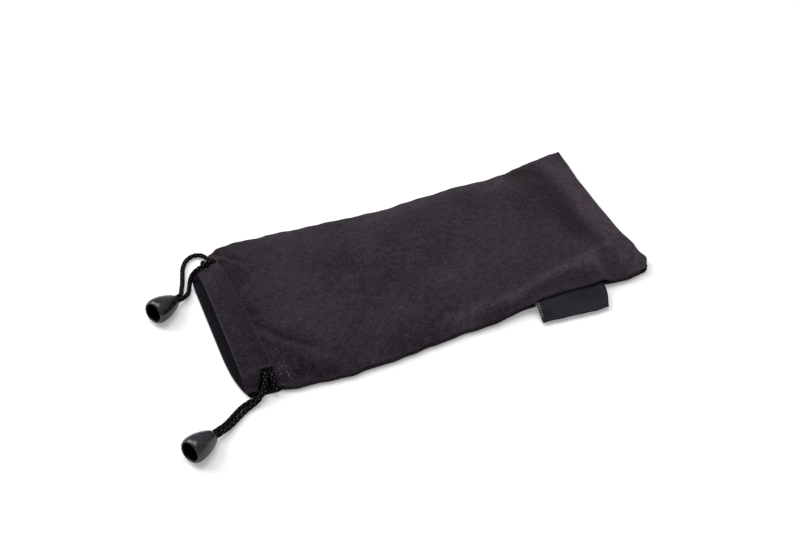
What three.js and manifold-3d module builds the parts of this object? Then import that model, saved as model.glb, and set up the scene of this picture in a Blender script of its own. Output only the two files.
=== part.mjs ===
// Drawstring glasses pouch of suede microfibre, lying flat on its back panel.
// Millimetres. +X runs from the mouth to the closed tail, +Y to the far side and +Z up.
// z = 0 is the table under the back panel, and the origin is under the pouch's middle.

import * as THREE from 'three';
import { mergeVertices } from 'three/addons/utils/BufferGeometryUtils.js';
import Module from 'manifold-3d';

const wasm = await Module();
wasm.setup();

// Pouch
const pouchLength = 181;        // back panel, from the mouth fold to the tail fold
const pouchWidth = 85;          // side seam to side seam
const bodyHeight = 8.5;         // over the front panel's crown
const crownPower = 4;           // how flat the crown is between the side seams
const tailRise = 24;            // length over which the crown falls to the tail seam
const tailPower = 2.4;          // how late it falls
const neckLength = 15;          // length over which the body takes the casing's height
const tailHollow = 2.5;         // how far the tail is drawn in
const tailHollowPlace = 0.1;    // share of the half width where it is deepest
const tailHollowPower = 1.4;
const mouthLean = 1.0;          // how far the mouth leans back to the far side, over half the width
const backMouthPeak = 0.4;      // share of the half width, near side, where the back mouth stands out
const mouthCornerRound = 4;     // how far the back mouth's near corner is drawn in
const frontSetback = 3.4;       // the front mouth stands behind the back mouth
const cornerCut = 2.4;          // rounding of the near tail corner

// Cloth and seams
const clothThickness = 0.45;
const layerGap = 0.3;           // between cloth layers that lie on each other
const seamAllowance = 7;
const edgeLift = 0.4;           // how far the seams stand off the table
const edgeLiftFrom = 0.8;       // share of the half width where the side seams start to lift
const tailLiftLength = 12;
const labelLift = 2.2;          // how much more the near seam stands off at the label
const labelLiftSpread = 22;
const labelLiftOffset = 8;      // from the label's mouth end to the highest place

// Drawstring casing, the hem at the mouth
const casingDepth = 10.5;       // front mouth fold to topstitching
const casingLean = 1.0;         // how far its far end leans to the mouth, over half the width
const mouthFoldGap = 1.0;       // inside the round of the fold
const cordClearance = 0.25;     // between the cord and the cloth round it
const laneGap = 0.35;           // between the two cords that share a casing
const tunnelTaper = 0.8;        // length over which the casing closes to its topstitching
const nearSlitDepth = 5.5;      // the slits that let the cords out, in from the side seam
const farSlitDepth = 10.5;
const slitMargin = 0.3;
const nearSlitSpread = 3;       // how much wider the slits are at the side seam, to the mouth
const farSlitSpread = 1.3;
const casingSpace = 0.6;        // front casing over back casing at the slits' inner ends
const nearEndLoft = 0;          // room left between the casings at the side seams
const farEndLoft = 1.2;
const farShutFrom = 0.58;       // share of the half width where the mouth starts to shut to the far side
const farShutSpace = 2.2;       // front casing over back casing at the far slit's inner end
const neckOpening = 4.1;        // more room than that between them at the middle
const stitchRecess = 0.75;      // hollow over the back topstitching
const stitchRecessHalf = 0.8;
const hemPastStitch = 1.2;

// Cords, bells and thread
const cordDiameter = 2.0;
const strandPitch = 2.15;       // between the centres of doubled strands
const bellLength = 12;
const bellNarrowRadius = 2.8;
const bellWideRadius = 5.2;
const bellWidest = 9.2;         // from the narrow end
const bellBoreRadius = 2.4;
const bellBoreLength = 2.6;
const bellCavityRadius = 4.0;
const bellLipRadius = 3.85;
const bellLipLength = 0.5;
const bellChamfer = 0.15;
const bellShoulder = 2.2;       // cone between the bore and the hollow
const bellTilt = 0.21;          // of the axis, in radians
const bellSegments = 20;
const bridgeDroop = 0.7;        // below 1, a cord's turn round a slit hangs lower the further out it is
const knotRadius = 2.1;         // of the rings that the knot's turns follow
const knotLean = 0.55;          // tilt of those rings, in radians
const knotPlace = 6.3;          // knot centre, from the bell's narrow end
const threadDiameter = 0.4;
const threadGap = 0.22;
const threadSink = 0.18;        // how far a seam thread sits in between the folds

// Label, a ribbon folded in two and sewn into the near seam
const labelWidth = 30;
const labelReach = 9;           // out of the seam
const labelFromTail = 24.4;
const labelSkew = 0.1;          // slope of the fold against the seam
const labelTailLean = 0.2;      // how much more its tail end leans, against its reach
const labelFoldZ = 1.3;         // fold above the table
const labelMargin = 6;          // beside the ribbon, where the seam closes again
const ribbonThickness = 0.32;
const ribbonGap = 0.2;
const ribbonClearance = 0.3;    // between the ribbon and the cloth over and under it

// Places that follow from the sizes
const backMouthX = -pouchLength / 2;
const tailX = pouchLength / 2;
const frontMouthX = backMouthX + frontSetback;
const topstitchX = frontMouthX + casingDepth;
const cordRadius = cordDiameter / 2;
const laneTailX = topstitchX - tunnelTaper - cordRadius - cordClearance;
const laneMouthX = laneTailX - cordDiameter - laneGap;
const slitTailX = laneTailX + cordRadius + slitMargin;
const slitMouthX = laneMouthX - cordRadius - slitMargin;
const layerPitch = clothThickness + layerGap;
const tunnelRoom = cordDiameter + 2 * cordClearance;
const casingHeight = 2 * clothThickness + tunnelRoom;
const foldRadius = layerPitch / 2;
const seamStack = 2 * layerPitch + clothThickness + layerGap;
const casingEndTop = edgeLift + clothThickness + layerPitch + layerGap;
const ribbonStack = 2 * ribbonThickness + ribbonGap;
const labelEndX = tailX - labelFromTail;
const labelStartX = labelEndX - labelWidth;
const labelRoot = seamAllowance / 2;
const labelLevel = 0.1;         // share of its reach over which it stays level
const knotHalf = knotRadius * Math.sin(knotLean) + cordRadius;
const hemEndX = topstitchX + hemPastStitch;

// How far the side seams are drawn in from the full width, at shares of the length
const nearDrawn = [[0, 4.2], [0.08, 2.8], [0.125, 1.0], [0.25, -1.2], [0.55, 1.0], [0.71, 2.2],
  [0.86, 2.3], [0.925, 1.7], [0.965, 2.4], [1, 2.0]];
const farDrawn = [[0, 10.0], [0.025, 8.0], [0.06, 3.0], [0.09, 0.4], [0.135, -1.1], [0.2, 0],
  [0.35, 2.6], [0.5, 5.3], [0.6, 4.2], [0.7, 4.2], [0.79, 4.9], [0.87, 2.9], [1, 0.2]];

const mix = THREE.MathUtils.lerp;
const clamp01 = (t) => THREE.MathUtils.clamp(t, 0, 1);
const smooth = (t, from, to) => THREE.MathUtils.smoothstep((t - from) / (to - from), 0, 1);
const vec = (x, y, z) => new THREE.Vector3(x, y, z);

function along(list, share) {
  const next = list.findIndex(([at]) => at >= share);
  if (next <= 0) return next < 0 ? list[list.length - 1][1] : list[0][1];
  const [from, a] = list[next - 1];
  const [to, b] = list[next];
  return mix(a, b, smooth(share, from, to));
}

// Outline seen from above: v runs from -1 at the near seam to 1 at the far seam
const lengthShare = (x) => clamp01((x - backMouthX) / pouchLength);
const cornerRound = (x) => cornerCut * smooth(x, tailX - 2.5 * cornerCut, tailX) ** 2;
const nearY = (x) => -pouchWidth / 2 + along(nearDrawn, lengthShare(x)) + cornerRound(x);
const farY = (x) => pouchWidth / 2 - along(farDrawn, lengthShare(x));
const acrossY = (x, v) => mix(nearY(x), farY(x), (v + 1) / 2);
const acrossV = (x, y) => 2 * (y - nearY(x)) / (farY(x) - nearY(x)) - 1;
const crown = (v) => 1 - Math.abs(v) ** crownPower;
const tailAt = (v) => tailX - tailHollow * (1 - Math.abs(v - tailHollowPlace) ** tailHollowPower)
  - cornerCut * smooth(-v, 0.85, 1) ** 2;
const frontMouthAt = (v) => frontMouthX + mouthLean * v;
const backMouthAt = (v) => backMouthX + mouthLean * (v + backMouthPeak)
  + mouthCornerRound * Math.max(-v, 0) ** 4;

// The casing's lanes, slits and stitching lean over the width
const leaning = (x, v) => x - casingLean * v;
const laneSpan = farY(laneTailX) - nearY(laneTailX);
const nearSlitV = 2 * nearSlitDepth / laneSpan;
const farSlitV = 2 * farSlitDepth / laneSpan;
const endShare = (v) => smooth(-v, 1 - nearSlitV, 1) + smooth(v, 1 - farSlitV, 1);
const slitMouthAt = (v) => leaning(slitMouthX, v)
  - (v < 0 ? nearSlitSpread : farSlitSpread) * endShare(v);

// Heights of the middle of the cloth
const atLabel = (x) => smooth(x, labelStartX - labelMargin, labelStartX)
  * smooth(-x, -labelEndX - labelMargin, -labelEndX);
const liftBump = (x) => Math.exp(-(((x - labelStartX - labelLiftOffset) / labelLiftSpread) ** 2));
function backZ(x, v) {
  const side = smooth(Math.abs(v), edgeLiftFrom, 1) * (edgeLift + (v < 0 ? labelLift * liftBump(x) : 0));
  const tail = edgeLift * smooth(x, tailX - tailLiftLength, tailX);
  const past = Math.abs(x - leaning(topstitchX, v));
  const stitch = stitchRecess * smooth(-past, -stitchRecessHalf, -threadDiameter)
    * (1 - endShare(v));
  return clothThickness / 2 + Math.max(side, tail, stitch);
}
const seamTopZ = (x, v) => backZ(x, Math.sign(v)) + seamStack
  + (v < 0 ? (ribbonStack - layerGap + 2 * ribbonClearance) * atLabel(x) : 0);
function neckZ(v) {
  const shut = clamp01((v - farShutFrom) / (1 - farSlitV - farShutFrom));
  const open = mix(casingSpace + neckOpening * crown(v), farShutSpace, shut);
  return mix(casingHeight + open, casingEndTop + (v < 0 ? nearEndLoft : farEndLoft), endShare(v));
}
const frontHemZ = (v) => neckZ(v) + clothThickness / 2;
const tailFall = (x) => 1 - clamp01((x - tailX + tailRise) / tailRise) ** tailPower;
function frontZ(x, v) {
  const edge = Math.max(seamTopZ(x, v), backZ(x, 0) + seamStack);
  const body = mix(edge, bodyHeight - clothThickness / 2, crown(v) * tailFall(x));
  const stitch = leaning(topstitchX, v);
  return mix(body, frontHemZ(v) + layerPitch, smooth(-x, -stitch - neckLength, -stitch));
}

// Room between the two layers of a casing, from the topstitching to the mouth fold. It closes
// from the slits' inner ends to the side seams.
function tunnelGap(x, v, foldX) {
  const room = mix(tunnelRoom, layerGap, endShare(v));
  const straight = x + casingLean * v;
  if (straight >= slitTailX) {
    return mix(room, layerGap, clamp01((straight - slitTailX) / (topstitchX - slitTailX)));
  }
  return mix(mix(mouthFoldGap, layerGap, endShare(v)), room,
    clamp01((x - foldX) / (slitMouthAt(v) - foldX)));
}

// A sheet of cloth as a net of cells between named points, given its thickness at the end
class Sheet {
  points = new Map();
  cells = [];

  set(key, point) {
    this.points.set(key, { point, normal: vec(0, 0, 0) });
  }

  // Joins rows of keys by cells, leaving out those that skip(row, column) names
  weave(rows, skip = () => false) {
    for (let r = 0; r + 1 < rows.length; r += 1) {
      for (let c = 0; c + 1 < rows[r].length; c += 1) {
        if (!skip(r, c)) this.cells.push([rows[r][c], rows[r + 1][c], rows[r + 1][c + 1], rows[r][c + 1]]);
      }
    }
  }

  geometry(thickness) {
    const edges = new Set();
    for (const cell of this.cells) {
      const [a, b, c, d] = cell.map((key) => this.points.get(key));
      const normal = c.point.clone().sub(a.point).cross(d.point.clone().sub(b.point));
      [a, b, c, d].forEach((corner) => corner.normal.add(normal));
      cell.forEach((key, k) => edges.add(`${key}>${cell[(k + 1) % 4]}`));
    }
    const faces = [];
    const at = (key, side) => {
      const { point, normal } = this.points.get(key);
      return point.clone().addScaledVector(normal.clone().normalize(), side * thickness / 2);
    };
    for (const cell of this.cells) {
      const [a, b, c, d] = cell.map((key) => at(key, 1));
      const [e, f, g, h] = cell.map((key) => at(key, -1));
      faces.push(a, b, c, a, c, d, e, g, f, e, h, g);
      cell.forEach((key, k) => {
        const next = cell[(k + 1) % 4];
        if (edges.has(`${next}>${key}`)) return;
        faces.push(at(key, -1), at(next, -1), at(next, 1), at(key, -1), at(next, 1), at(key, 1));
      });
    }
    return facing(faces);
  }
}

// Triangles as a geometry whose faces point out
function facing(corners) {
  let volume = 0;
  for (let k = 0; k < corners.length; k += 3) {
    volume += corners[k].dot(corners[k + 1].clone().cross(corners[k + 2]));
  }
  const ordered = volume > 0 ? corners : corners.map((_, k) => corners[k - (k % 3) + 2 - (k % 3)]);
  const flat = new Float32Array(ordered.flatMap((p) => [p.x, p.y, p.z]));
  const geometry = new THREE.BufferGeometry();
  geometry.setAttribute('position', new THREE.BufferAttribute(flat, 3));
  geometry.computeVertexNormals();
  return geometry;
}

// Rows across the panel: two cells along each slit, and even steps between the slits
const innerRows = 9;
const rowsV = [-1, -1 + nearSlitV / 2];
for (let k = 0; k <= innerRows + 1; k += 1) {
  rowsV.push(mix(-1 + nearSlitV, 1 - farSlitV, k / (innerRows + 1)));
}
rowsV.push(1 - farSlitV / 2, 1);
const slitRows = [0, 1, rowsV.length - 3, rowsV.length - 2];

// Columns of the body as x positions at mid-width, from the tail fold to the topstitching
const labelX = [0, 1, 2, 3].map((k) => mix(labelEndX, labelStartX, k / 3));
const bodyX = [tailX, tailX - seamAllowance / 2, tailX - seamAllowance - 3, labelEndX + labelMargin,
  ...labelX, labelStartX - labelMargin];
const plainSteps = 4;
for (let k = 1; k <= plainSteps; k += 1) {
  bodyX.push(mix(labelStartX - labelMargin, topstitchX + neckLength - 1, k / plainSteps));
}
bodyX.push(topstitchX + 7, topstitchX + 3, topstitchX + 2 * threadDiameter, topstitchX);
const bodyAt = (x, v) => mix(leaning(topstitchX, v), tailAt(v),
  (x - topstitchX) / (tailX - topstitchX));

// One panel: turned-in allowances, body, casing, mouth fold and hem in a single sheet.
// up is 1 for the front panel, whose hem lies below it, and -1 for the back panel.
function panel(up, bodyHeightAt, hemHeightAt, outerHeightAt, mouthAt) {
  const sheet = new Sheet();
  const rows = rowsV.map(() => []);
  const put = (row, key, point) => {
    sheet.set(`${row}:${key}`, point);
    rows[row].push(`${row}:${key}`);
  };
  const casingX = (v) => [leaning(slitTailX, v), mix(leaning(slitTailX, v), slitMouthAt(v), 0.5),
    slitMouthAt(v), mix(slitMouthAt(v), mouthAt(v), 0.6), mouthAt(v)];

  rowsV.forEach((v, row) => {
    const tail = tailAt(v);
    const tailRow = (x) => vec(x, acrossY(x, v), bodyHeightAt(x, v));
    for (const inset of [seamAllowance, seamAllowance / 2, 0]) {
      put(row, `tail-in${inset}`, tailRow(tail - inset).add(vec(0, 0, -up * layerPitch)));
    }
    for (const turn of [2 / 3, 1 / 3]) {
      const out = foldRadius * Math.sin(Math.PI * turn);
      const down = foldRadius * (1 - Math.cos(Math.PI * turn));
      put(row, `tail-fold${turn}`, tailRow(tail).add(vec(out, 0, -up * down)));
    }
    bodyX.forEach((column, k) => put(row, `body${k}`, tailRow(bodyAt(column, v))));

    const casing = casingX(v);
    casing.forEach((x, k) => put(row, `casing${k}`, vec(x, acrossY(x, v), outerHeightAt(x, v))));
    const fold = casing[casing.length - 1];
    const half = (outerHeightAt(fold, v) - hemHeightAt(fold, v)) / 2;
    for (const turn of [1 / 4, 1 / 2, 3 / 4]) {
      const out = Math.abs(half) * Math.sin(Math.PI * turn);
      const z = hemHeightAt(fold, v) + half * (1 + Math.cos(Math.PI * turn));
      put(row, `mouth-fold${turn}`, vec(fold - out, acrossY(fold, v), z));
    }
    const hem = [...casing.slice().reverse(), leaning(topstitchX, v), leaning(hemEndX, v)];
    hem.forEach((x, k) => put(row, `hem${k}`, vec(x, acrossY(x, v), hemHeightAt(x, v))));
  });

  // The slits run through both layers, and the tail allowance stops short of the corners
  const last = rowsV.length - 2;
  const firstBody = 5;
  const outerSlit = firstBody + bodyX.length;
  const hemSlit = outerSlit + casingX(0).length + 3 + 2;
  const isSlit = (c) => [outerSlit, outerSlit + 1, hemSlit, hemSlit + 1].includes(c);
  const beyondBody = (c) => c >= firstBody + bodyX.length - 1;
  sheet.weave(rows, (r, c) => (slitRows.includes(r) && isSlit(c))
    || ((r <= 1 || r >= last - 1) && c < 2)
    || ((r === 0 || r === last) && c < firstBody && !beyondBody(c)));

  // Side allowances, turned in between the tail allowance and the slits
  for (const [row, side, edgeY] of [[0, -1, nearY], [rowsV.length - 1, 1, farY]]) {
    const strips = [[], [], [], [], []];
    for (let k = 2; k < bodyX.length - 1; k += 1) {
      const x = bodyAt(bodyX[k], side);
      const y = edgeY(x);
      const inner = (inset) => {
        const at = y - side * inset;
        return vec(x, at, bodyHeightAt(x, acrossV(x, at)) - up * layerPitch);
      };
      const folded = (turn) => vec(x, y + side * foldRadius * Math.sin(Math.PI * turn),
        bodyHeightAt(x, side) - up * foldRadius * (1 - Math.cos(Math.PI * turn)));
      const path = [folded(1 / 3), folded(2 / 3), inner(0), inner(seamAllowance / 2), inner(seamAllowance)];
      strips[0].push(`${row}:body${k}`);
      path.forEach((point, p) => {
        if (p + 1 === strips.length) strips.push([]);
        sheet.set(`${row}:side${p}:${k}`, point);
        strips[p + 1].push(`${row}:side${p}:${k}`);
      });
    }
    sheet.weave(side < 0 ? strips.reverse() : strips);
  }
  return sheet.geometry(clothThickness);
}

const frontOuterZ = (x, v) => frontHemZ(v) + clothThickness + tunnelGap(x, v, frontMouthAt(v));
const backHemZ = (x, v) => backZ(x, v) + clothThickness + tunnelGap(x, v, backMouthAt(v));

// Round section swept along a smooth route
function sweep(points, diameter, steps, sides = 8) {
  const section = new THREE.Shape();
  for (let k = 0; k < sides; k += 1) {
    const angle = 2 * Math.PI * k / sides;
    const [x, y] = [Math.cos(angle) * diameter / 2, Math.sin(angle) * diameter / 2];
    if (k) section.lineTo(x, y);
    else section.moveTo(x, y);
  }
  const extrudePath = new THREE.CatmullRomCurve3(points, false, 'centripetal');
  return new THREE.ExtrudeGeometry(section, { steps, extrudePath, curveSegments: 1 });
}

// Places in a cord's lane, at a share of the width inside the front or the back casing
const backLaneZ = clothThickness + cordClearance + cordRadius;
function laneSpot(lane, casing, v) {
  const x = leaning(lane, v);
  const front = frontHemZ(v) + clothThickness / 2 + cordClearance + cordRadius;
  return vec(x, acrossY(x, v), casing === 'front' ? front : backLaneZ);
}
const laneRows = rowsV.slice(2, -2);

// Hidden run of a cord: across the front casing, round the other side's slit, back below.
// side is the side where its ends come out, bridge how far it swings out of the other slit and
// bridgeLean how far that swing leans to the mouth.
function hiddenRun({ lane, side, bridge, bridgeLean }) {
  const shares = side < 0 ? laneRows : laneRows.slice().reverse();
  const run = (casing) => shares.map((v) => laneSpot(lane, casing, v))
    .flatMap((spot, k, spots) => (k ? [spots[k - 1].clone().lerp(spot, 0.5), spot] : [spot]));
  const points = run('front');
  const turn = points[points.length - 1];
  const radius = (turn.z - backLaneZ) / 2;
  for (const share of [0.15, 0.33, 0.5, 0.67, 0.85]) {
    const out = Math.sin(Math.PI * share);
    points.push(vec(turn.x - bridgeLean * out, turn.y - side * bridge * out,
      backLaneZ + radius * (1 + Math.cos(Math.PI * share ** bridgeDroop))));
  }
  return [...points, ...run('back').reverse()];
}

// A bell lies on its side, so that its axis climbs towards the mouth
const bellNarrowZ = Math.max(...bellProfile()
  .map(({ x, y }) => x * Math.cos(bellTilt) - y * Math.sin(bellTilt)));

// The two drawcords: lane in the casings, side they come out, place and heading of the bell,
// and each strand's route by hand from the slit to where it runs straight into the bell
const cords = [
  {
    name: 'near', lane: laneMouthX, side: -1, narrowEnd: [-107.3, -53.1], heading: 209.2,
    straight: 8.2, outer: 'front', bridge: 8.7, bridgeLean: 1.3,
    front: [[-80.9, -37.8, 6.5], [-82.1, -39.6, 4.9], [-83.9, -41.2, 3.3], [-86.0, -42.5, 2.0],
      [-88.3, -43.2, 1.3], [-90.7, -44.1, 1.08], [-93.1, -45.4, 1.05]],
    back: [[-80.8, -37.4, 1.6], [-82.4, -39.2, 1.45], [-84.4, -40.2, 1.2], [-86.6, -40.6, 1.08],
      [-89.4, -41.2, 1.05], [-92.6, -42.4, 1.05]],
  },
  {
    name: 'far', lane: laneTailX, side: 1, narrowEnd: [-100.3, 20.2], heading: 209.1,
    straight: 4.6, outer: 'back', bridge: 6.5, bridgeLean: 0,
    front: [[-80.2, 31.0, 8.1], [-81.9, 30.0, 9.4], [-83.9, 29.5, 9.2], [-85.8, 30.0, 7.9],
      [-87.6, 30.7, 6.2], [-89.2, 30.7, 4.6], [-90.5, 29.8, 3.1], [-91.5, 28.1, 1.95],
      [-92.4, 26.1, 1.4], [-93.6, 23.9, 1.5]],
    back: [[-79.9, 34.2, 1.65], [-79.9, 37.6, 1.55], [-80.1, 41.2, 1.3], [-81.8, 44.1, 1.1],
      [-85.0, 45.1, 1.05], [-88.4, 43.5, 1.05], [-91.1, 39.6, 1.05], [-92.7, 34.8, 1.05],
      [-93.9, 31.0, 1.1], [-95.0, 28.2, 1.3]],
  },
];

// Frame of a bell: origin at the middle of its narrow end, axis towards its mouth
function bellFrame({ narrowEnd, heading }) {
  const turn = THREE.MathUtils.degToRad(heading);
  const level = vec(Math.cos(turn), Math.sin(turn), 0);
  return {
    start: vec(...narrowEnd, bellNarrowZ),
    axis: level.clone().multiplyScalar(Math.cos(bellTilt)).add(vec(0, 0, Math.sin(bellTilt))),
    across: vec(-level.y, level.x, 0),
  };
}

function strandRoute(cord, casing) {
  const { start, axis, across } = bellFrame(cord);
  const [before, last] = (cord.side < 0 ? laneRows.slice(0, 2).reverse() : laneRows.slice(-2))
    .map((v) => laneSpot(cord.lane, casing, v));
  const out = last.clone().sub(before).normalize();
  const exit = (reach) => last.clone().addScaledVector(out, reach);
  const sideways = (casing === cord.outer ? -1 : 1) * cord.side * strandPitch / 2;
  const onAxis = (s) => start.clone().addScaledVector(axis, s).addScaledVector(across, sideways);
  const knotEnd = knotPlace - knotHalf - layerGap;
  return [exit(layerGap), exit(layerGap + cordRadius),
    ...cord[casing].map((p) => vec(...p)),
    ...[-cord.straight, -cord.straight / 2, 0, knotEnd / 2, knotEnd].map(onAxis)];
}

function place(geometry, { start, axis }) {
  const turn = new THREE.Quaternion().setFromUnitVectors(vec(0, 1, 0), axis);
  return geometry.applyQuaternion(turn).translate(start.x, start.y, start.z);
}

// Bell, turned about Y: barrel, rounded rim, lip, hollow for the knot and bore for the cord
function bellProfile() {
  const rim = bellLength - bellWidest;
  const barrel = (share) => [mix(bellNarrowRadius, bellWideRadius, Math.sin(Math.PI / 2 * share)),
    share * bellWidest];
  const outline = [[bellBoreRadius, bellChamfer], [bellBoreRadius + bellChamfer, 0],
    [bellNarrowRadius - bellChamfer, 0], [bellNarrowRadius, 2 * bellChamfer],
    ...[0.12, 0.3, 0.5, 0.75].map(barrel)];
  for (const share of [0, 0.3, 0.6, 0.85, 1]) {
    const angle = Math.PI / 2 * share;
    const lip = bellLipRadius + 2 * bellChamfer;
    outline.push([mix(lip, bellWideRadius, Math.cos(angle)), bellWidest + rim * Math.sin(angle)]);
  }
  const lipStart = bellLength - 2 * bellChamfer;
  const hollowStart = bellBoreLength + bellShoulder;
  const hollowEnd = lipStart - 2 * bellLipLength;
  outline.push([bellLipRadius, lipStart], [bellLipRadius, lipStart - bellLipLength],
    [bellCavityRadius, hollowEnd], [bellCavityRadius, hollowStart],
    [bellBoreRadius, bellBoreLength], [bellBoreRadius, bellChamfer]);
  return outline.map(([r, y]) => new THREE.Vector2(r, y));
}

// Stopper knot: the doubled cord's turns, laid as three rings that lean over each other
function knot() {
  const solids = [];
  for (let k = 0; k < 3; k += 1) {
    const ring = new THREE.TorusGeometry(knotRadius, cordRadius, 5, 11);
    ring.rotateX(Math.PI / 2 + knotLean).rotateY(2 * Math.PI * k / 3).translate(0, knotPlace, 0);
    solids.push(solid(ring));
  }
  return geometryOf(solids.reduce((sum, next) => sum.add(next)));
}

function solid(geometry) {
  const bare = geometry.clone();
  bare.deleteAttribute('normal');
  bare.deleteAttribute('uv');
  const merged = mergeVertices(bare, 1e-4);
  return new wasm.Manifold(new wasm.Mesh({
    numProp: 3,
    vertProperties: new Float32Array(merged.attributes.position.array),
    triVerts: new Uint32Array(merged.index.array),
  }));
}

function geometryOf(manifold) {
  const mesh = manifold.getMesh();
  const geometry = new THREE.BufferGeometry();
  geometry.setAttribute('position', new THREE.BufferAttribute(mesh.vertProperties, 3));
  geometry.setIndex(new THREE.BufferAttribute(mesh.triVerts, 1));
  geometry.computeVertexNormals();
  return geometry;
}

// Label: the ribbon leaves the seam, folds at its outer edge and comes back under itself
function label() {
  const sheet = new Sheet();
  const pitch = ribbonThickness + ribbonGap;
  const rise = layerPitch + clothThickness / 2 + ribbonClearance + ribbonThickness / 2;
  const rows = labelX.map((column, c) => {
    const x = bodyAt(column, -1);
    const rootZ = backZ(x, -1) + rise;
    const spot = (share, up) => {
      if (share < 0) {
        const y = nearY(x) + labelRoot;
        return vec(x, y, backZ(x, acrossV(x, y)) + rise + up);
      }
      const out = share * (labelReach + labelSkew * (x - labelStartX));
      const z = mix(rootZ, labelFoldZ, smooth(share, labelLevel, 1)) + up;
      const lean = labelSkew + labelTailLean * (x - labelStartX) / labelWidth;
      return vec(x - lean * out, nearY(x) - out, z);
    };
    const shares = [-1, 0, labelLevel, 0.3, 0.6, 0.85, 1];
    const top = shares.map((share) => spot(share, pitch));
    const fold = spot(1 + pitch / 2 / labelReach, pitch / 2);
    const bottom = shares.map((share) => spot(share, 0)).reverse();
    return [...top, fold, ...bottom].map((point, k) => {
      sheet.set(`${c}:${k}`, point);
      return `${c}:${k}`;
    });
  });
  sheet.weave(rows);
  return sheet.geometry(ribbonThickness);
}

// Threads: topstitching along each casing, the seams between the folds and a tack at each slit
const threadRise = clothThickness / 2 + threadGap + threadDiameter / 2;
function topstitching(up, heightAt) {
  return rowsV.slice(2, -2).map((v) => {
    const x = leaning(up > 0 ? topstitchX + threadDiameter : topstitchX, v);
    return vec(x, acrossY(x, v), heightAt(x, v) + up * threadRise);
  });
}
const seamZ = (x, v) => backZ(x, v) + layerPitch + clothThickness / 2 + layerGap / 2;
const seamOut = foldRadius + clothThickness / 2 + threadDiameter / 2 - threadSink;
function sideThread(fromX, toX, v, edgeY) {
  return bodyX.filter((column) => column <= fromX && column >= toX).map((column) => {
    const x = bodyAt(column, v);
    return vec(x, edgeY(x) + v * seamOut, seamZ(x, v));
  });
}
function tailThread() {
  return rowsV.slice(1, -1).map((v) => vec(tailAt(v) + seamOut, acrossY(tailAt(v), v), seamZ(tailX, v)));
}
function slitTack(v) {
  return [slitTailX, laneTailX, laneMouthX, slitMouthX].map((column) => {
    const x = leaning(column, v);
    const y = acrossY(x, v) - Math.sign(v) * 1.5 * threadDiameter;
    return vec(x, y, frontOuterZ(x, acrossV(x, y)) + threadRise);
  });
}

const suede = { color: 0x372f37, roughness: 0.96, metalness: 0 };
const cordStuff = { color: 0x0c0b0d, roughness: 0.85, metalness: 0 };
const plastic = { color: 0x3a393d, roughness: 0.42, metalness: 0 };
const ribbon = { color: 0x181a22, roughness: 0.6, metalness: 0 };
const thread = { color: 0x2a262b, roughness: 0.8, metalness: 0 };

const pouch = new THREE.Group();
function add(name, geometry, stuff) {
  const mesh = new THREE.Mesh(geometry, new THREE.MeshStandardMaterial(stuff));
  mesh.name = name;
  pouch.add(mesh);
}

add('front_panel', panel(1, frontZ, (x, v) => frontHemZ(v), frontOuterZ, frontMouthAt), suede);
add('back_panel', panel(-1, backZ, backHemZ, backZ, backMouthAt), suede);
add('label_tab', label(), ribbon);
const sew = (name, points, steps) => add(name, sweep(points, threadDiameter, steps, 6), thread);
sew('front_casing_stitching', topstitching(1, frontZ), 20);
sew('back_casing_stitching', topstitching(-1, backZ), 20);
sew('tail_seam_thread', tailThread(), 20);
sew('far_seam_thread', sideThread(tailX - seamAllowance, topstitchX + 1, 1, farY), 30);
sew('near_seam_thread_mouth', sideThread(labelStartX - 1, topstitchX + 1, -1, nearY), 20);
sew('near_seam_thread_tail', sideThread(tailX - seamAllowance / 4, labelEndX + 1, -1, nearY), 6);
sew('near_slit_tack', slitTack(rowsV[2]), 4);
sew('far_slit_tack', slitTack(rowsV[rowsV.length - 3]), 4);

for (const cord of cords) {
  add(`${cord.name}_cord_in_casing`, sweep(hiddenRun(cord), cordDiameter, 64), cordStuff);
  add(`${cord.name}_cord_front_strand`, sweep(strandRoute(cord, 'front'), cordDiameter, 24), cordStuff);
  add(`${cord.name}_cord_back_strand`, sweep(strandRoute(cord, 'back'), cordDiameter, 24), cordStuff);
  add(`${cord.name}_cord_knot`, place(knot(), bellFrame(cord)), cordStuff);
  const bell = new THREE.LatheGeometry(bellProfile(), bellSegments);
  add(`${cord.name}_bell`, place(bell, bellFrame(cord)), plastic);
}

export default pouch;
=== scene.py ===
"""Looks of a drawstring glasses pouch of suede microfibre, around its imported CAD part.

Lengths are in millimetres and turned into metres where a mesh is made.
+X runs from the mouth to the closed tail, +Y to the far side and +Z up from the table.
"""

import math

import bpy
import bmesh
import numpy as np
from mathutils import Matrix, Vector, noise


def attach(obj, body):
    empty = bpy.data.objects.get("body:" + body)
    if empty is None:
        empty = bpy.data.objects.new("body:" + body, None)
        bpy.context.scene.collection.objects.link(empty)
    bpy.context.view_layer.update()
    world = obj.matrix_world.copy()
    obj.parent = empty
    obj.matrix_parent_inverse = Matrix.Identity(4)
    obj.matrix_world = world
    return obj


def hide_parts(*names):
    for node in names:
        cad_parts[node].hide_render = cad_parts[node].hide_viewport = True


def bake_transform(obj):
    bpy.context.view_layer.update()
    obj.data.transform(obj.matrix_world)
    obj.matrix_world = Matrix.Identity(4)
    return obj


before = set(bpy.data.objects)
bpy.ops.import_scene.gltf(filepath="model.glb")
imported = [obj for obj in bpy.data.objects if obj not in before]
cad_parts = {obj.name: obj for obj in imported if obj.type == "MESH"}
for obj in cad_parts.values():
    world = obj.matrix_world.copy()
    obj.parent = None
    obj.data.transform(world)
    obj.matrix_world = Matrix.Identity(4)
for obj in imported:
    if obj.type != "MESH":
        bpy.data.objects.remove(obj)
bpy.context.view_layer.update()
MM = 0.001

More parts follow.
